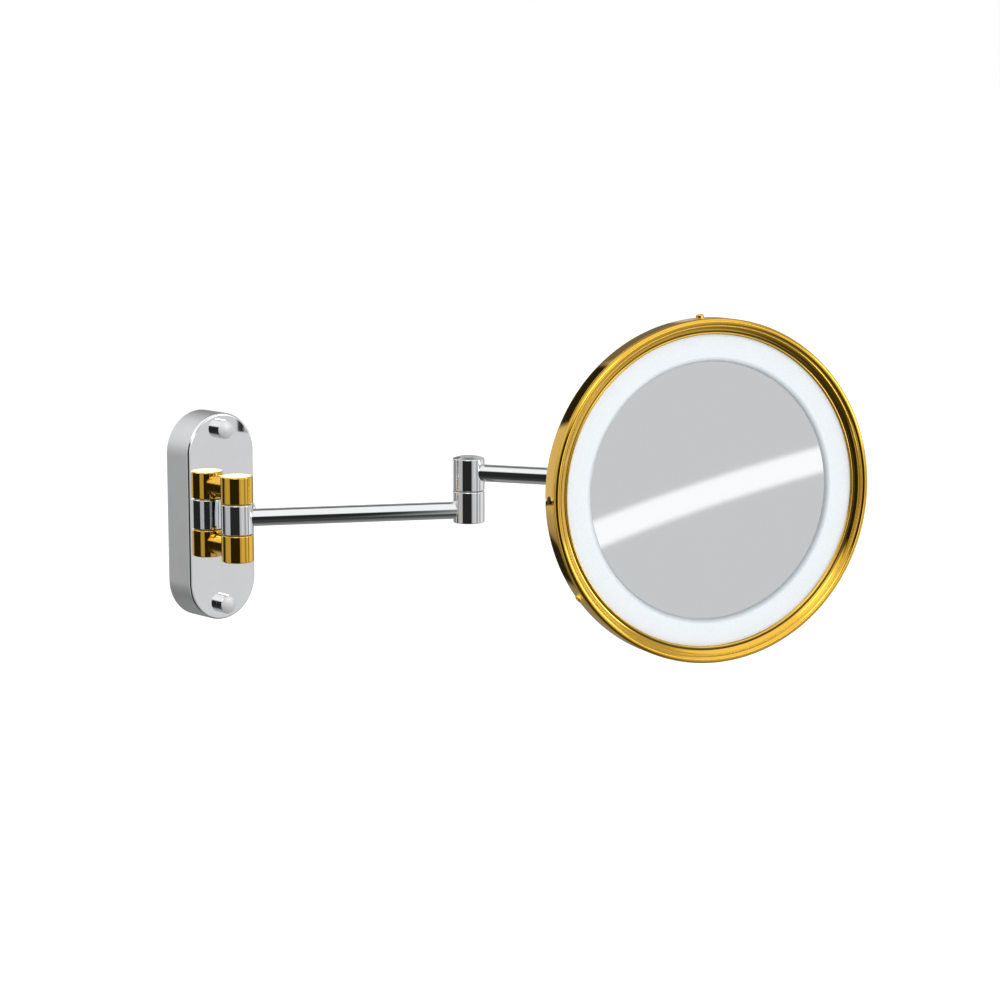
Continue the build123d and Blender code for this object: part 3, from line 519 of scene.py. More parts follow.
CHROME = Finish("chrome_plate", (0.92, 0.93, 0.94), 1.0, 0.02, 0.02, 0.97, grain_depth=0.0)
CHROME_SATIN = Finish(
    "chrome_satin", (0.88, 0.885, 0.895), 1.0, 0.34, 0.06, 0.96, stretch=(1.0, 1.0, 40.0)
)
NUT_SATIN = Finish("nut_satin", (0.93, 0.93, 0.94), 1.0, 0.5, 0.04, 0.98, grain_depth=0.000001)
GOLD = Finish("gold_plate", (1.0, 0.59, 0.075), 1.0, 0.03, 0.03, 0.96, grain_depth=0.0)
# Satin gold, also painted darker than the polished gold: painted shade for the knuckles' top faces.
GOLD_SATIN_PAINTED_SHADE = Finish("gold_satin_painted_shade", (0.6, 0.42, 0.12), 1.0, 0.3, 0.08, 0.94)
# Painted shade: a dark gold for the faces in the rim's groove, where shade falls.
GOLD_GROOVE_PAINTED_SHADE = Finish("gold_groove_painted_shade", (0.16, 0.11, 0.03), 1.0, 0.4, 0.1, 0.8)
MIRROR_SILVER = Finish("silvered_glass", (0.9, 0.91, 0.92), 1.0, 0.02, 0.01, 0.995, grain_depth=0.0)
GLASS_EDGE = Finish("ground_glass_edge", (0.5, 0.54, 0.56), 0.0, 0.35, 0.1, 0.9, coat=0.4)
# The opal's glow is painted light: an even glow that lifts the ring to white.
OPAL = Finish(
    "opal_acrylic_painted_glow", (0.87, 0.89, 0.915), 0.0, 0.25, 0.05, 0.99, glow=0.08, subsurface=0.1
)
# The finish of the opal ring's rolled edge within each distance of its inner edge: painted shade,
# darker and with less glow nearer the mirror.
OPAL_ROLL_PAINTED_SHADE = tuple(
    (reach, Finish(f"opal_roll_{reach}", colour, 0.0, 0.25, glow=glow, subsurface=0.1))
    for reach, colour, glow in (
        (3.4, (0.83, 0.855, 0.885), 0.06),
        (2.4, (0.75, 0.78, 0.815), 0.05),
        (1.5, (0.66, 0.695, 0.73), 0.03),
        (0.7, (0.57, 0.605, 0.64), 0.01),
    )
)
NYLON = Finish("white_nylon", (0.8, 0.8, 0.77), 0.0, 0.45, 0.1, 0.93, subsurface=0.05)
BLACK_ABS = Finish("black_abs", (0.02, 0.02, 0.022), 0.0, 0.45, 0.15, 0.7, grain_depth=0.00001)
RUBBER = Finish("black_rubber", (0.022, 0.022, 0.021), 0.0, 0.7, 0.15, 0.7, grain_depth=0.00002)
SHEATH = Finish("lead_sheath", (0.62, 0.62, 0.6), 0.0, 0.55, 0.1, 0.9)
ZINC = Finish("zinc_plate", (0.6, 0.61, 0.63), 1.0, 0.25, 0.15, 0.85, patch_scale=140.0)
BLACKED = Finish("blackened_steel", (0.08, 0.07, 0.06), 1.0, 0.3, 0.15, 0.7)
ALUMINIUM = Finish(
    "rolled_aluminium", (0.78, 0.79, 0.8), 1.0, 0.3, 0.1, 0.92, stretch=(1.0, 30.0, 1.0)
)
BUTTON = Finish("button_cap", (0.86, 0.87, 0.88), 0.6, 0.2, 0.05, 0.96)
LACQUER = Finish("board_lacquer", (0.82, 0.84, 0.8), 0.0, 0.35, 0.1, 0.95, coat=0.3)
PHOSPHOR = Finish("lamp_phosphor", (0.9, 0.78, 0.25), 0.0, 0.3, 0.1, 0.9, coat=0.5, glow=0.6)
FLOOR_PAINT = Finish("floor_paint", (0.9, 0.9, 0.9), 0.0, 0.9, 0.05, 0.99, glow=0.5)

SLOT_FINISH = {
    Slot.CHROME: CHROME,
    Slot.GOLD: GOLD,
    Slot.ZINC_STEEL: ZINC,
    Slot.DARK_STEEL: BLACKED,
    Slot.ALUMINIUM: ALUMINIUM,
    Slot.WHITE_NYLON: NYLON,
    Slot.BLACK_PLASTIC: BLACK_ABS,
    Slot.BLACK_RUBBER: RUBBER,
    Slot.LEAD_SHEATH: SHEATH,
    Slot.BUTTON_WHITE: BUTTON,
    Slot.OPAL: OPAL,
    Slot.MIRROR: MIRROR_SILVER,
    Slot.BOARD_WHITE: LACQUER,
    Slot.LAMP: PHOSPHOR,
}


def keep_from_mirrors(piece: bpy.types.Object, body: Body) -> None:
    """Keeps the head's pieces out of the reflections on the polished parts."""
    piece.visible_glossy = body not in (Body.HEAD, Body.SWIVEL)


def fit_out(
    piece: bpy.types.Object, body: Body, slot: Slot, finish: Finish, *nodes: str
) -> bpy.types.Object:
    """Gives a new piece its finish, its body and the CAD nodes that it stands for.

    Args:
        piece: The new piece.
        body: The body that it moves with.
        slot: The record's material slot. It is not used.
        finish: Its main finish.
        nodes: The CAD nodes that it replaces.

    Returns:
        The same piece.
    """
    piece.data.materials.append(finish.material())
    keep_from_mirrors(piece, body)
    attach(piece, body.value)
    if nodes:
        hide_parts(*nodes)
    LOG.info("%s rides on %s", piece.name, body.value)
    return piece


def refinish(
    piece: bpy.types.Object, finish: Finish, where: Callable[[Vector, Vector], bool]
) -> None:
    """Gives some faces of a piece another finish.

    Args:
        piece: The piece.
        finish: The other finish.
        where: Says from a face's centre and direction, in local millimetres, whether it changes.
    """
    piece.data.materials.append(finish.material())
    index = len(piece.data.materials) - 1
    for polygon in piece.data.polygons:
        if where(polygon.center / MM, polygon.normal):
            polygon.material_index = index


def corner_box(node: str) -> tuple[Vector, Vector]:
    """A CAD node's lowest and highest corner, in millimetres."""
    low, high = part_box(node)
    return low / MM, high / MM


def joint_place(name: str) -> tuple[Vector, Vector]:
    """A joint's position in metres and its axis."""
    joint = next(j for j in frame["joints"] if j["name"] == name)
    return Vector(joint["pos_m"]), Vector(joint["axis"]).normalized()


# ------------------------------------------------------------------ wall box
@dataclass
class WallBox:
    """The obround box on the wall, with its two cap nuts."""

    wall: float = 1.2
    edge_rounding: float = 1.6
    inner_rounding: float = 0.6
    back_rounding: float = 0.3
    nut_rounding: float = 0.35
    nut_dome: float = 1.3
    dome_steps: int = 10

    def __post_init__(self) -> None:
        """Reads the cover's size from the frame."""
        low, high = corner_box("wall_box_cover")
        self.radius = (high.x - low.x) / 2
        self.spread = (high.z - low.z) / 2 - self.radius
        self.depth = high.y - low.y
        self.place = Place(Vector((0.0, 0.0, 0.0)), RIGHT, OUTWARD)

    def build(self) -> None:
        """Makes the cover and the nuts."""
        self.build_cover()
        self.build_nuts()

    def build_cover(self) -> None:
        """Drawn cover: a polished front, satin sides and a thin turned-in back edge."""
        inside = self.radius - self.wall
        section = [
            Corner(0.0, self.depth - self.wall),
            Corner(inside, self.depth - self.wall, self.inner_rounding),
            Corner(inside, 0.0, self.back_rounding),
            Corner(self.radius, 0.0, self.back_rounding),
            Corner(self.radius, self.depth, self.edge_rounding),
            Corner(0.0, self.depth),
        ]
        cover = turned("box_cover", self.place, section, spread=self.spread, sides=160)
        fit_out(cover, Body.WALL_BOX, Slot.CHROME, CHROME, "wall_box_cover")
        satin_end = self.depth - self.edge_rounding
        refinish(cover, CHROME_SATIN, lambda centre, facing: centre.z < satin_end)

    def build_nuts(self) -> None:
        """Round cap nuts with polished sides and satin domed faces."""
        low, high = corner_box("cap_nuts")
        radius = (high.x - low.x) / 2
        reach = -low.y
        stud_height = (high.z - low.z) / 2 - radius
        shoulder = reach - self.nut_dome
        curve = (radius**2 + self.nut_dome**2) / (2 * self.nut_dome)
        half = math.degrees(math.asin(radius / curve))
        dome = arc((0.0, reach - curve), curve, 90 - half, 90, self.dome_steps)
        section = [
            Corner(0.0, self.depth),
            Corner(radius, self.depth),
            Corner(radius, shoulder, self.nut_rounding),
            *dome[1:],
        ]
        for side, height in (("upper", stud_height), ("lower", -stud_height)):
            place = self.place.shifted(height)
            nut = turned(f"cap_nut_{side}", place, section, sides=72)
            fit_out(nut, Body.WALL_BOX, Slot.CHROME, CHROME, "cap_nuts")
            face_start = shoulder + TEST_MARGIN
            refinish(nut, NUT_SATIN, lambda centre, facing: centre.z > face_start)


# ------------------------------------------------------------------ hinge column
@dataclass
class HingeColumn:
    """Gold knuckles above and below the chrome barrel of the first arm."""

    rim_rounding: float = 0.8
    stem_rounding: float = 0.3
    stem_radius: float = 7.0
    thread_radius: float = 4.0
    thread_end: float = 9.5
    thread_rounding: float = 0.4
    stem_gap: float = 2.0
    level: float = 0.99

    def __post_init__(self) -> None:
        """Reads the column's place from the frame."""
        self.axis_point, _ = joint_place("arm_1_swing")
        self.centre = Place(Vector((self.axis_point.x, self.axis_point.y, 0.0)), RIGHT, UP)
        self.wall_front = -corner_box("wall_box_cover")[0].y

    def build(self) -> None:
        """Makes both knuckles."""
        for side in ("upper", "lower"):
            self.build_knuckle(side)

    def build_knuckle(self, side: str) -> None:
        """One knuckle: its barrel and the stem that carries it.

        Args:
            side: "upper" or "lower".
        """
        node = f"hinge_knuckle_{side}"
        low, high = corner_box(node)
        radius = (high.x - low.x) / 2
        section = cylinder_section(radius, low.z, high.z, self.rim_rounding)
        barrel = turned(f"knuckle_{side}", self.centre, section, sides=128)
        fit_out(barrel, Body.WALL_BOX, Slot.GOLD, GOLD, node)
        top = high.z - TEST_MARGIN
        # The top face gets the satin gold with its painted shade.
        refinish(barrel, GOLD_SATIN_PAINTED_SHADE, lambda centre, facing: centre.z > top and facing.z > self.level)
        height = (low.z + high.z) / 2
        stem_end = -self.axis_point.y / MM - self.stem_gap
        stem = [
            Corner(0.0, self.thread_end),
            Corner(self.thread_radius, self.thread_end, self.thread_rounding),
            Corner(self.thread_radius, self.wall_front),
            Corner(self.stem_radius, self.wall_front, self.stem_rounding),
            Corner(self.stem_radius, stem_end, 0.2),
            Corner(0.0, stem_end),
        ]
        place = Place(Vector((0.0, 0.0, height * MM)), RIGHT, OUTWARD)
        carrier = turned(f"knuckle_stem_{side}", place, stem, sides=96)
        fit_out(carrier, Body.WALL_BOX, Slot.GOLD, GOLD, node)


# ------------------------------------------------------------------ push switch
@dataclass
class PushSwitch:
    """Gold collar and domed cap on the side of the box."""

    collar_rounding: float = 0.5
    cap_rounding: float = 2.6
    cap_clearance: float = 0.3
    flare: float = 1.6
    cap_seat: float = 2.7
    plunger_radius: float = 1.6
    pocket_radius: float = 2.9
    pocket_depth: float = 1.8

    def build(self) -> None:
        """Makes the collar, and the cap with a pocket that takes the spring when it is pressed."""
        low, high = corner_box("switch_collar")
        middle = (low + high) / 2
        radius = (high.z - low.z) / 2 + self.flare
        cap_low, cap_high = corner_box("switch_button")
        cap_radius = (cap_high.z - cap_low.z) / 2 + self.flare / 2
        place = Place(Vector((0.0, middle.y, middle.z)) * MM, Vector((0.0, 1.0, 0.0)), RIGHT)
        collar = tube_section(
            radius, cap_radius + self.cap_clearance, low.x, high.x, self.collar_rounding
        )
        ring = turned("switch_bezel", place, collar, closed=True, sides=72)
        fit_out(ring, Body.WALL_BOX, Slot.GOLD, GOLD, "switch_collar")
        seat = low.x + self.cap_seat
        roof = seat + self.pocket_depth
        cap = [
            Corner(0.0, cap_low.x),
            Corner(self.plunger_radius, cap_low.x, 0.2),
            Corner(self.plunger_radius, roof),
            Corner(self.pocket_radius, roof),
            Corner(self.pocket_radius, seat),
            Corner(cap_radius, seat),
            Corner(cap_radius, cap_high.x, self.cap_rounding),
            Corner(0.0, cap_high.x),
        ]
        button = turned("push_button", place, cap, sides=72)
        fit_out(button, Body.SWITCH_BUTTON, Slot.BUTTON_WHITE, BUTTON, "switch_button")


# ------------------------------------------------------------------ arms
@dataclass
class Arm:
    """A chrome arm: a barrel at its pivot, a tube and a barrel at its far end."""

    name: str
    body: Body
    start: Vector
    end: Vector
    tube_node: str
    barrel_node: str
    end_node: str
    tube_reach: float = 6.2
    wall: float = 1.2
    rim_rounding: float = 0.75
    tube_rounding: float = 0.2
    pin_bore: float = 4.05
    elbow_bore: float = 3.55
    recess_radius: float = 5.75
    recess_floor: float = -1.3
    roof: float = 3.0
    dome_height: float = 1.1
    dome_share: float = 0.62
    dome_rounding: float = 0.8

    def build(self) -> None:
        """Makes the tube and the two barrels."""
        self.build_tube()
        self.build_barrel("pivot_barrel", self.barrel_node, self.start)
        self.build_barrel("end_barrel", self.end_node, self.end)

    def build_tube(self) -> None:
        """The straight tube between the barrels."""
        low, high = corner_box(self.tube_node)
        radius = (high.z - low.z) / 2
        height = (high.z + low.z) / 2
        along = self.end - self.start
        along.z = 0.0
        length = along.length / MM
        along.normalize()
        origin = Vector((self.start.x, self.start.y, height * MM))
        place = Place(origin, UP, along)
        reach = self.tube_reach
        section = tube_section(
            radius, radius - self.wall, reach, length - reach, self.tube_rounding
        )
        tube = turned(f"{self.name}_tube_shell", place, section, closed=True, sides=96)
        fit_out(tube, self.body, Slot.CHROME, CHROME, self.tube_node)

    def barrel_section(self, node: str, radius: float, low: float, high: float) -> list[Corner]:
        """Section of a barrel, in millimetres: the elbow's halves have their own bores.

        Args:
            node: The CAD node that gives the barrel's size.
            radius: Its outer radius.
            low: Height of its lower end.
            high: Height of its upper end.

        Returns:
            The section, which meets the axis only on the domed half of the elbow.
        """
        rim = self.rim_rounding
        if node == "elbow_upper":
            crown = high + self.dome_height
            return [
                Corner(0.0, high - self.roof),
                Corner(self.elbow_bore, high - self.roof),
                Corner(self.elbow_bore, low),
                Corner(radius, low, rim),
                Corner(radius, high, rim),
                Corner(radius * self.dome_share, crown, self.dome_rounding),
                Corner(0.0, crown),
            ]
        if node == "elbow_lower":
            return [
                Corner(self.recess_radius, low),
                Corner(radius, low, rim),
                Corner(radius, high, rim),
                Corner(self.elbow_bore, high),
                Corner(self.elbow_bore, self.recess_floor),
                Corner(self.recess_radius, self.recess_floor),
            ]
        return tube_section(radius, self.pin_bore, low, high, rim)

    def build_barrel(self, label: str, node: str, point: Vector) -> None:
        """One of the upright barrels.

        Args:
            label: What the barrel is called.
            node: The CAD node that gives its size.
            point: A point on its axis, in metres.
        """
        low, high = corner_box(node)
        radius = (high.x - low.x) / 2
        place = Place(Vector((point.x, point.y, 0.0)), RIGHT, UP)
        section = self.barrel_section(node, radius, low.z, high.z)
        bored = section[0].radius > 0.0
        barrel = turned(f"{self.name}_{label}", place, section, closed=bored, sides=128)
        fit_out(barrel, self.body, Slot.CHROME, CHROME, node)


# ------------------------------------------------------------------ head
@dataclass
class MirrorHead:
    """The round head: rear shell, rim, opal ring and dished mirror.

    Heights are measured from the plane of the rim's outer edge, forwards positive. The head is
    shifted by settle, in the shared frame's axes, from the place of its CAD nodes.
    """

    radius: float = 103.0
    seam: float = -1.8
    board_back: float = 14.0
    ridge_radius: float = 98.3
    ridge_rounding: float = 0.45
    bead_height: float = -0.7
    ridge_height: float = -0.65
    cove_radius: float = 3.7
    cove_from_lip: float = 1.3
    cove_height: float = 1.2
    groove_width: float = 0.8
    rim_back: float = -10.0
    rim_seat_radius: float = 99.7
    lip_radius: float = 93.3
    lip_roll: float = 0.65
    lip_back: float = -3.1
    groove_floor: float = -3.9
    shell_corner: float = 6.0
    shell_side_end: float = -12.2
    shell_wall: float = 1.5
    shell_flat_radius: float = 60.0
    shell_flat_bend: float = 30.0
    shell_hole_radius: float = 3.0
    seam_rounding: float = 0.35
    depth: float = 20.0
    opal_front: float = -4.3
    opal_thickness: float = 2.0
    opal_outer: float = 99.5
    opal_skirt: float = 1.5
    opal_skirt_back: float = -9.4
    opal_inner: float = 77.08
    opal_roll: float = 2.7
    mirror_radius: float = 77.0
    mirror_edge: float = -6.7
    mirror_curve: float = 900.0
    mirror_thickness: float = 3.0
    mirror_steps: int = 24
    settle: Triple = (0.6, -0.6, 1.4)
    rim_screw_angles: tuple[float, ...] = (94.0, 214.0)
    rim_screw_height: float = -3.6
    side_screw_spot: Triple = (179.9, -6.8, 1.6)
    screw_radius: float = 2.4
    screw_flange: float = 3.2
    screw_rise: float = 2.5
    screw_socket: float = 0.8
    socket_depth: float = 0.9
    shank_radius: float = 1.2
    shank_depth: float = 1.0
    flange_under: float = -0.3
    flange_top: float = 0.35
    sides: int = 288

    def __post_init__(self) -> None:
        """Finds the head's place from the tilt bolt and the lamp board."""
        tilt_point, tilt_axis = joint_place("head_tilt")
        low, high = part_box("led_board")
        board = (low + high) / 2
        normal = (board - tilt_point).normalized()
        origin = board + normal * self.board_back * MM
        self.up = normal.cross(tilt_axis)
        if self.up.z < 0.0:
            self.up = -self.up
        self.place = Place(origin + Vector(self.settle) * MM, tilt_axis, normal)

    def build(self) -> None:
        """Makes the four turned pieces and the screws round the side."""
        self.build_shell()
        self.build_rim()
        self.build_opal()
        self.build_mirror()
        for angle in self.rim_screw_angles:
            spot = (angle, self.rim_screw_height, 0.0)
            self.build_screw(f"rim_screw_{angle:.0f}", spot, GOLD, Slot.GOLD, "rim_screws")
        self.build_screw(
            "socket_screw", self.side_screw_spot, BLACKED, Slot.DARK_STEEL, "side_screw"
        )

    def build_screw(
        self,
        name: str,
        spot: Triple,
        finish: Finish,
        slot: Slot,
        node: str,
    ) -> None:
        """A button-headed screw standing on the side of the head.

        Args:
            name: The piece's name.
            spot: Angle in degrees, seen from the front with 90 at the top; distance in front of
                the rim's plane, negative behind it; and how far it is sunk in.
            finish: Its finish.
            slot: The record's material slot.
            node: The CAD node that it stands for.
        """
        across = self.up.cross(self.place.z_axis)
        angle, height, sunk = spot
        turn = math.radians(angle)
        radial = across * math.cos(turn) + self.up * math.sin(turn)
        foot = radial * (self.radius - sunk) + self.place.z_axis * height
        flange, head, rise = self.screw_flange, self.screw_radius, self.screw_rise
        section = [
            Corner(0.0, -self.shank_depth),
            Corner(self.shank_radius, -self.shank_depth),
            Corner(self.shank_radius, self.flange_under),
            Corner(flange, self.flange_under),
            Corner(flange, self.flange_top, 0.15),
            Corner(head, 0.4),
            Corner(head, rise, 0.8),
            Corner(self.screw_socket, rise, 0.15),
            Corner(self.screw_socket, rise - self.socket_depth),
            Corner(0.0, rise - self.socket_depth),
        ]
        place = Place(self.place.origin + foot * MM, self.place.z_axis, radial)
        screw = turned(name, place, section, sides=48)
        fit_out(screw, Body.HEAD, slot, finish, node)

    def build_shell(self) -> None:
        """Spun shell with a round corner and a slightly raised centre."""
        wall = self.shell_wall
        hole, flat_end, bend = self.shell_hole_radius, self.shell_flat_radius, self.shell_flat_bend
        low = self.shell_side_end - self.shell_corner
        flat = self.radius - self.shell_corner
        inside = self.radius - wall
        section = [
            Corner(hole, -self.depth, 0.2),
            Corner(flat_end, -self.depth, bend),
            Corner(flat + 0.3, low, 8.0),
            *arc((flat, self.shell_side_end), self.shell_corner, -84, 0, 16),
            Corner(self.radius, self.seam, self.seam_rounding),
            Corner(inside, self.seam),
            Corner(inside, low + wall, self.shell_corner - wall),
            Corner(flat_end, -self.depth + wall, bend),
            Corner(hole, -self.depth + wall, 0.2),
        ]
        shell = turned("head_shell", self.place, section, closed=True, sides=self.sides)
        fit_out(shell, Body.HEAD, Slot.GOLD, GOLD, "rear_shell")

    def build_rim(self) -> None:
        """Rim with a rounded bead, a fine ridge and a hollow cove down to its lip."""
        lip = self.lip_radius
        ridge = self.ridge_radius
        seat, back = self.rim_seat_radius, self.rim_back
        inside = self.radius - self.shell_wall - 0.05
        bead = (self.radius - ridge - self.ridge_rounding) / 2
        roll = self.lip_roll
        groove = lip + 2 * roll
        section = [
            Corner(lip, self.opal_front),
            Corner(seat, self.opal_front),
            Corner(seat, back, 0.2),
            Corner(inside, back, 0.2),
            Corner(inside, self.seam),
            Corner(self.radius, self.seam, self.seam_rounding),
            *arc((self.radius - bead, self.bead_height), bead, 0, 170, 22),
            *arc((ridge, self.ridge_height), self.ridge_rounding, 50, 190, 8),
            *arc((lip + self.cove_from_lip, self.cove_height), self.cove_radius, -32, -75, 10),
            Corner(groove + self.groove_width, self.groove_floor, 0.2),
            Corner(groove, self.groove_floor, 0.2),
            *arc((lip + roll, self.lip_back), roll, 0, 180, 10),
        ]
        rim = turned("head_rim", self.place, section, closed=True, sides=self.sides)
        fit_out(rim, Body.HEAD, Slot.GOLD, GOLD, "front_rim")
        # The groove's faces get the dark gold: painted shade in the recess.
        floor = self.groove_floor
        refinish(
            rim,
            GOLD_GROOVE_PAINTED_SHADE,
            lambda centre, facing: groove - 0.1 < centre.xy.length < groove + 0.9
            and floor - 0.1 < centre.z < self.lip_back + 0.1,
        )

    def build_opal(self) -> None:
        """Opal ring, rolled down to the mirror's edge."""
        inner, outer = self.opal_inner, self.opal_outer
        skirt, skirt_back = inner + self.opal_skirt, self.opal_skirt_back
        roll = self.opal_roll
        front = self.opal_front
        back = front - self.opal_thickness
        section = [
            Corner(inner, skirt_back),
            Corner(skirt, skirt_back),
            Corner(skirt, back, 1.2),
            Corner(outer, back),
            Corner(outer, front),
            *arc((inner + roll, front - roll), roll, 90, 180, 14),
        ]
        ring = turned("opal_ring", self.place, section, closed=True, sides=self.sides)
        fit_out(ring, Body.HEAD, Slot.OPAL, OPAL, "diffuser_ring")
        # Painted shade: darker, dimmer bands on the roll towards the mirror's edge.
        for reach, finish in OPAL_ROLL_PAINTED_SHADE:
            edge = inner + reach
            refinish(ring, finish, lambda centre, facing: centre.xy.length < edge)

    def mirror_height(self, radius: float) -> float:
        """Height of the dished front.

        Args:
            radius: Distance from the axis.

        Returns:
            The height at that distance.
        """
        curve = self.mirror_curve
        rim_sag = curve - math.sqrt(curve**2 - self.mirror_radius**2)
        return self.mirror_edge - rim_sag + curve - math.sqrt(curve**2 - radius**2)

    def build_mirror(self) -> None:
        """Dished mirror with a ground edge."""
        steps = self.mirror_steps
        radii = [self.mirror_radius * i / steps for i in range(steps + 1)]
        back = [Corner(r, self.mirror_height(r) - self.mirror_thickness, flow=True) for r in radii]
        front = [Corner(r, self.mirror_height(r), flow=True) for r in reversed(radii)]
        back[-1] = Corner(back[-1].radius, back[-1].height, 0.2)
        front[0] = Corner(front[0].radius, front[0].height, 0.05)
        mirror = turned("mirror_disc", self.place, [*back, *front], sides=self.sides)
        fit_out(mirror, Body.HEAD, Slot.MIRROR, MIRROR_SILVER, "mirror_glass")
        edge = self.mirror_radius - 0.03
        refinish(
            mirror,
            GLASS_EDGE,
            lambda centre, facing: centre.xy.length > edge and abs(facing.z) < 0.9,
        )


# ------------------------------------------------------------------ studio
@dataclass(frozen=True)
class SkyEdge:
    """A soft circle on the sky: the side towards a direction, past a threshold, counts."""

    towards: Triple
    threshold: float
    softness: float


@dataclass(frozen=True)
class SkyPatch:
    """A stretch of the studio's surroundings with its own brightness, inside several edges."""

    level: float
    edges: tuple[SkyEdge, ...]


def heading(azimuth: float, elevation: float = 0.0) -> Triple:
    """Direction at an azimuth (0 is out of the wall, 90 to the right) and an elevation."""
    turn, lift = math.radians(azimuth), math.radians(elevation)
    return (
        math.sin(turn) * math.cos(lift),
        -math.cos(turn) * math.cos(lift),
        math.sin(lift),
    )


@dataclass
class Studio:
    """Pale floor, plain white behind the object, and surroundings that light it.

    The surroundings are grey, with soft-edged brighter and darker stretches laid over each other
    where polished metal and the mirror should show them from the viewpoint.
    """

    floor_height: float = -0.32
    floor_size: float = 80.0
    surround: float = 0.48

    def sector(self, start: float, end: float, soft: float = 0.06) -> tuple[SkyEdge, ...]:
        """Edges that keep a sector narrower than half a turn.

        Args:
            start: First azimuth in degrees.
            end: Last azimuth in degrees, to the right of the first.
            soft: Width of the soft edges.

        Returns:
            The two edges.
        """
        return (
            SkyEdge(heading(start + 90), 0.0, soft),
            SkyEdge(heading(end - 90), 0.0, soft),
        )

    def above(self, elevation: float, soft: float = 0.1) -> SkyEdge:
        """Keeps what is above an elevation."""
        return SkyEdge((0.0, 0.0, 1.0), math.sin(math.radians(elevation)), soft)

    def below(self, elevation: float, soft: float = 0.1) -> SkyEdge:
        """Keeps what is below an elevation."""
        return SkyEdge((0.0, 0.0, -1.0), -math.sin(math.radians(elevation)), soft)

    def around(self, azimuth: float, elevation: float, reach: float, soft: float) -> SkyEdge:
        """Keeps what is within a reach, in degrees, of a direction."""
        return SkyEdge(heading(azimuth, elevation), math.cos(math.radians(reach)), soft)

    def patches(self) -> list[SkyPatch]:
        """Bright and dark stretches of the surroundings.

        Returns:
            The patches, each laid over the ones before it.
        """
        strip = self.around(120.2, -79.1, 90.65, 0.006)
        strip_back = self.around(-59.8, 79.1, 90.65, 0.006)
        return [
            # below, and towards the wall
            SkyPatch(0.15, (self.below(-58, 0.2),)),
            SkyPatch(0.25, (self.around(135, -38, 42, 0.2),)),
            SkyPatch(0.66, (self.around(180, 15, 45, 0.2), self.above(-11))),
            SkyPatch(0.27, (self.around(180, -30, 50, 0.2), self.below(-18, 0.06))),
            # to the left, from the wall forwards
            SkyPatch(0.15, (*self.sector(-171, -150), self.above(-35), self.below(3))),
            SkyPatch(0.8, (self.around(-150, 38, 30, 0.1), self.above(5))),
            SkyPatch(0.17, (*self.sector(-135, -128, 0.04), self.above(-25), self.below(0))),
            # to the right, from the front
            SkyPatch(0.33, (*self.sector(16, 27), self.above(-40), self.below(15))),
            SkyPatch(0.66, (*self.sector(28, 98), self.above(-30), self.below(25))),
            SkyPatch(0.78, (*self.sector(50, 80), self.above(-20), self.below(12))),
            SkyPatch(0.06, (*self.sector(45, 51, 0.03), self.above(-16), self.below(-4))),
            # dark in front on the left, and low there
            SkyPatch(0.02, (*self.sector(-88, -20), self.above(-52, 0.25))),
            SkyPatch(0.04, (self.around(-96, -50, 16, 0.06),)),
            SkyPatch(0.05, (self.around(-42, -52, 26, 0.12),)),
            # a broad bright canopy overhead
            SkyPatch(0.97, (self.around(-32.6, 61.8, 44.4, 0.14),)),
            # small dark spots towards the wall
            SkyPatch(0.17, (self.around(146, 17, 12, 0.012),)),
            SkyPatch(0.02, (self.around(168, 17, 10, 0.008),)),
            SkyPatch(0.02, (self.around(167, -21, 7, 0.006),)),
            SkyPatch(0.1, (self.around(141, 54, 17, 0.1),)),
            # three lamps
            SkyPatch(3.0, (self.around(3, -5, 17, 0.014), self.above(-3, 0.04))),
            SkyPatch(4.0, (*self.sector(29, 43, 0.03), self.above(0, 0.04), self.below(20))),
            SkyPatch(2.6, (self.around(-52, 42, 12, 0.014),)),
            # what the mirror shows: plain grey with a bright strip
            SkyPatch(0.62, (self.around(3, -5, 12, 0.006),)),
            SkyPatch(1.06, (strip, strip_back, self.around(3, -5, 12, 0.006))),
        ]

    def build(self) -> None:
        """Makes the surroundings and the floor."""
        self.build_world()
        self.build_floor()

    def build_world(self) -> None:
        """World shader: the patches for reflections, and plain white behind the object."""
        world = bpy.data.worlds.new("studio")
        world.use_nodes = True
        bpy.context.scene.world = world
        sketch = NodeSketch(world.node_tree)
        direction = sketch.node("ShaderNodeTexCoord").outputs["Generated"]
        colour = sketch.node("ShaderNodeRGB").outputs["Color"]
        colour.default_value = (self.surround, self.surround, self.surround, 1.0)
        for patch in self.patches():
            colour = self.add_patch(sketch, direction, colour, patch)
        lit = sketch.node("ShaderNodeBackground")
        plain = sketch.node("ShaderNodeBackground")
        plain.inputs["Color"].default_value = (1.0, 1.0, 1.0, 1.0)
        sketch.join(colour, lit.inputs["Color"])
        rays = sketch.node("ShaderNodeLightPath")
        blend = sketch.node("ShaderNodeMixShader")
        sketch.join(rays.outputs["Is Camera Ray"], blend.inputs["Fac"])
        sketch.join(lit.outputs["Background"], blend.inputs[1])
        sketch.join(plain.outputs["Background"], blend.inputs[2])
        output = sketch.node("ShaderNodeOutputWorld")
        sketch.join(blend.outputs["Shader"], output.inputs["Surface"])

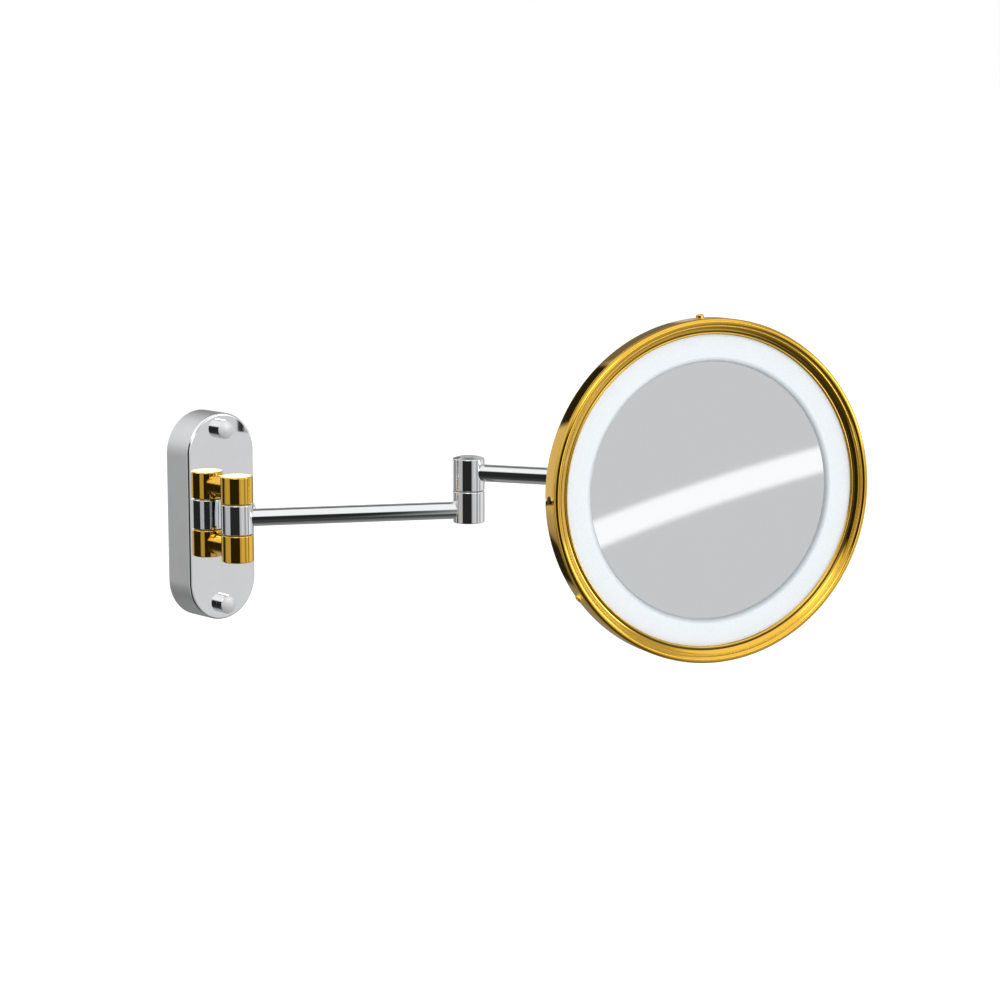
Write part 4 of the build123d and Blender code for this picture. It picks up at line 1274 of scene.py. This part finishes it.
    def add_patch(
        self,
        sketch: NodeSketch,
        direction: Socket,
        colour: Socket,
        patch: SkyPatch,
    ) -> Socket:
        """Lays one patch over the colour so far.

        Args:
            sketch: The world's node tree.
            direction: Direction of the ray.
            colour: The colour so far.
            patch: The patch.

        Returns:
            The new colour's socket.
        """
        mask = None
        for edge in patch.edges:
            dot = sketch.node("ShaderNodeVectorMath", operation="DOT_PRODUCT")
            dot.inputs[1].default_value = edge.towards
            sketch.join(direction, dot.inputs[0])
            soft = sketch.node("ShaderNodeMapRange", interpolation_type="SMOOTHSTEP")
            soft.inputs["From Min"].default_value = edge.threshold - edge.softness / 2
            soft.inputs["From Max"].default_value = edge.threshold + edge.softness / 2
            sketch.join(dot.outputs["Value"], soft.inputs["Value"])
            if mask is None:
                mask = soft.outputs["Result"]
                continue
            product = sketch.node("ShaderNodeMath", operation="MULTIPLY")
            sketch.join(mask, product.inputs[0])
            sketch.join(soft.outputs["Result"], product.inputs[1])
            mask = product.outputs["Value"]
        mix = sketch.node("ShaderNodeMix", data_type="RGBA")
        sketch.join(mask, mix.inputs["Factor"])
        sketch.join(colour, mix.inputs["A"])
        mix.inputs["B"].default_value = (patch.level, patch.level, patch.level, 1.0)
        return mix.outputs["Result"]

    def build_floor(self) -> None:
        """Plain pale floor."""
        half = self.floor_size / 2
        mesh = bpy.data.meshes.new("floor")
        corners = [(-half, -half), (half, -half), (half, half), (-half, half)]
        mesh.from_pydata([(x, y, self.floor_height) for x, y in corners], [], [(0, 1, 2, 3)])
        floor = bpy.data.objects.new("floor", mesh)
        bpy.context.scene.collection.objects.link(floor)
        mesh.materials.append(FLOOR_PAINT.material())
        floor.visible_glossy = False


# ------------------------------------------------------------------ viewpoint
@dataclass
class Viewpoint:
    """The camera, in front of the wall to the left and a little above."""

    azimuth: float = -43.5
    elevation: float = 9.3
    distance: float = 1.7
    lens: float = 97.84
    sensor: float = 36.0
    target: Triple = (0.1332, -0.1325, 0.0085)

    def build(self) -> None:
        """Makes the camera and sets the picture's plain colour handling."""
        data = bpy.data.cameras.new("camera")
        data.lens = self.lens
        data.sensor_width = self.sensor
        camera = bpy.data.objects.new("camera", data)
        bpy.context.scene.collection.objects.link(camera)
        back = Vector(heading(self.azimuth, self.elevation))
        camera.location = Vector(self.target) + back * self.distance
        camera.rotation_mode = "QUATERNION"
        camera.rotation_quaternion = (-back).to_track_quat("-Z", "Y")
        bpy.context.scene.camera = camera
        bpy.context.scene.view_settings.view_transform = "Standard"


# ------------------------------------------------------------------ carried-over CAD nodes
@dataclass
class Fittings:
    """The pieces that keep their CAD shape: each gets the finish of its slot."""

    def build(self) -> None:
        """Dresses every CAD node by its material slot."""
        for part in frame["record"]["subparts"]:
            node = frame["nodes"][part["node"]]
            finish = SLOT_FINISH[Slot(part["material_slot"])]
            node.data.materials.clear()
            node.data.materials.append(finish.material())
            keep_from_mirrors(node, Body(body_of(node)[-1]))


def main() -> None:
    """Builds the sub-assemblies in order and reports each piece."""
    logging.basicConfig(level=logging.INFO, format="%(name)s: %(message)s")
    joints = ("arm_1_swing", "elbow_swing", "head_pan")
    column, elbow, pan = (joint_place(name)[0] for name in joints)
    Fittings().build()
    WallBox().build()
    HingeColumn().build()
    PushSwitch().build()
    Arm("arm_1", Body.ARM_1, column, elbow, "arm_1_tube", "arm_1_barrel", "elbow_lower").build()
    Arm("arm_2", Body.ARM_2, elbow, pan, "arm_2_tube", "elbow_upper", "arm_2_end_barrel").build()
    MirrorHead().build()
    Studio().build()
    Viewpoint().build()


if __name__ == "__main__":
    main()
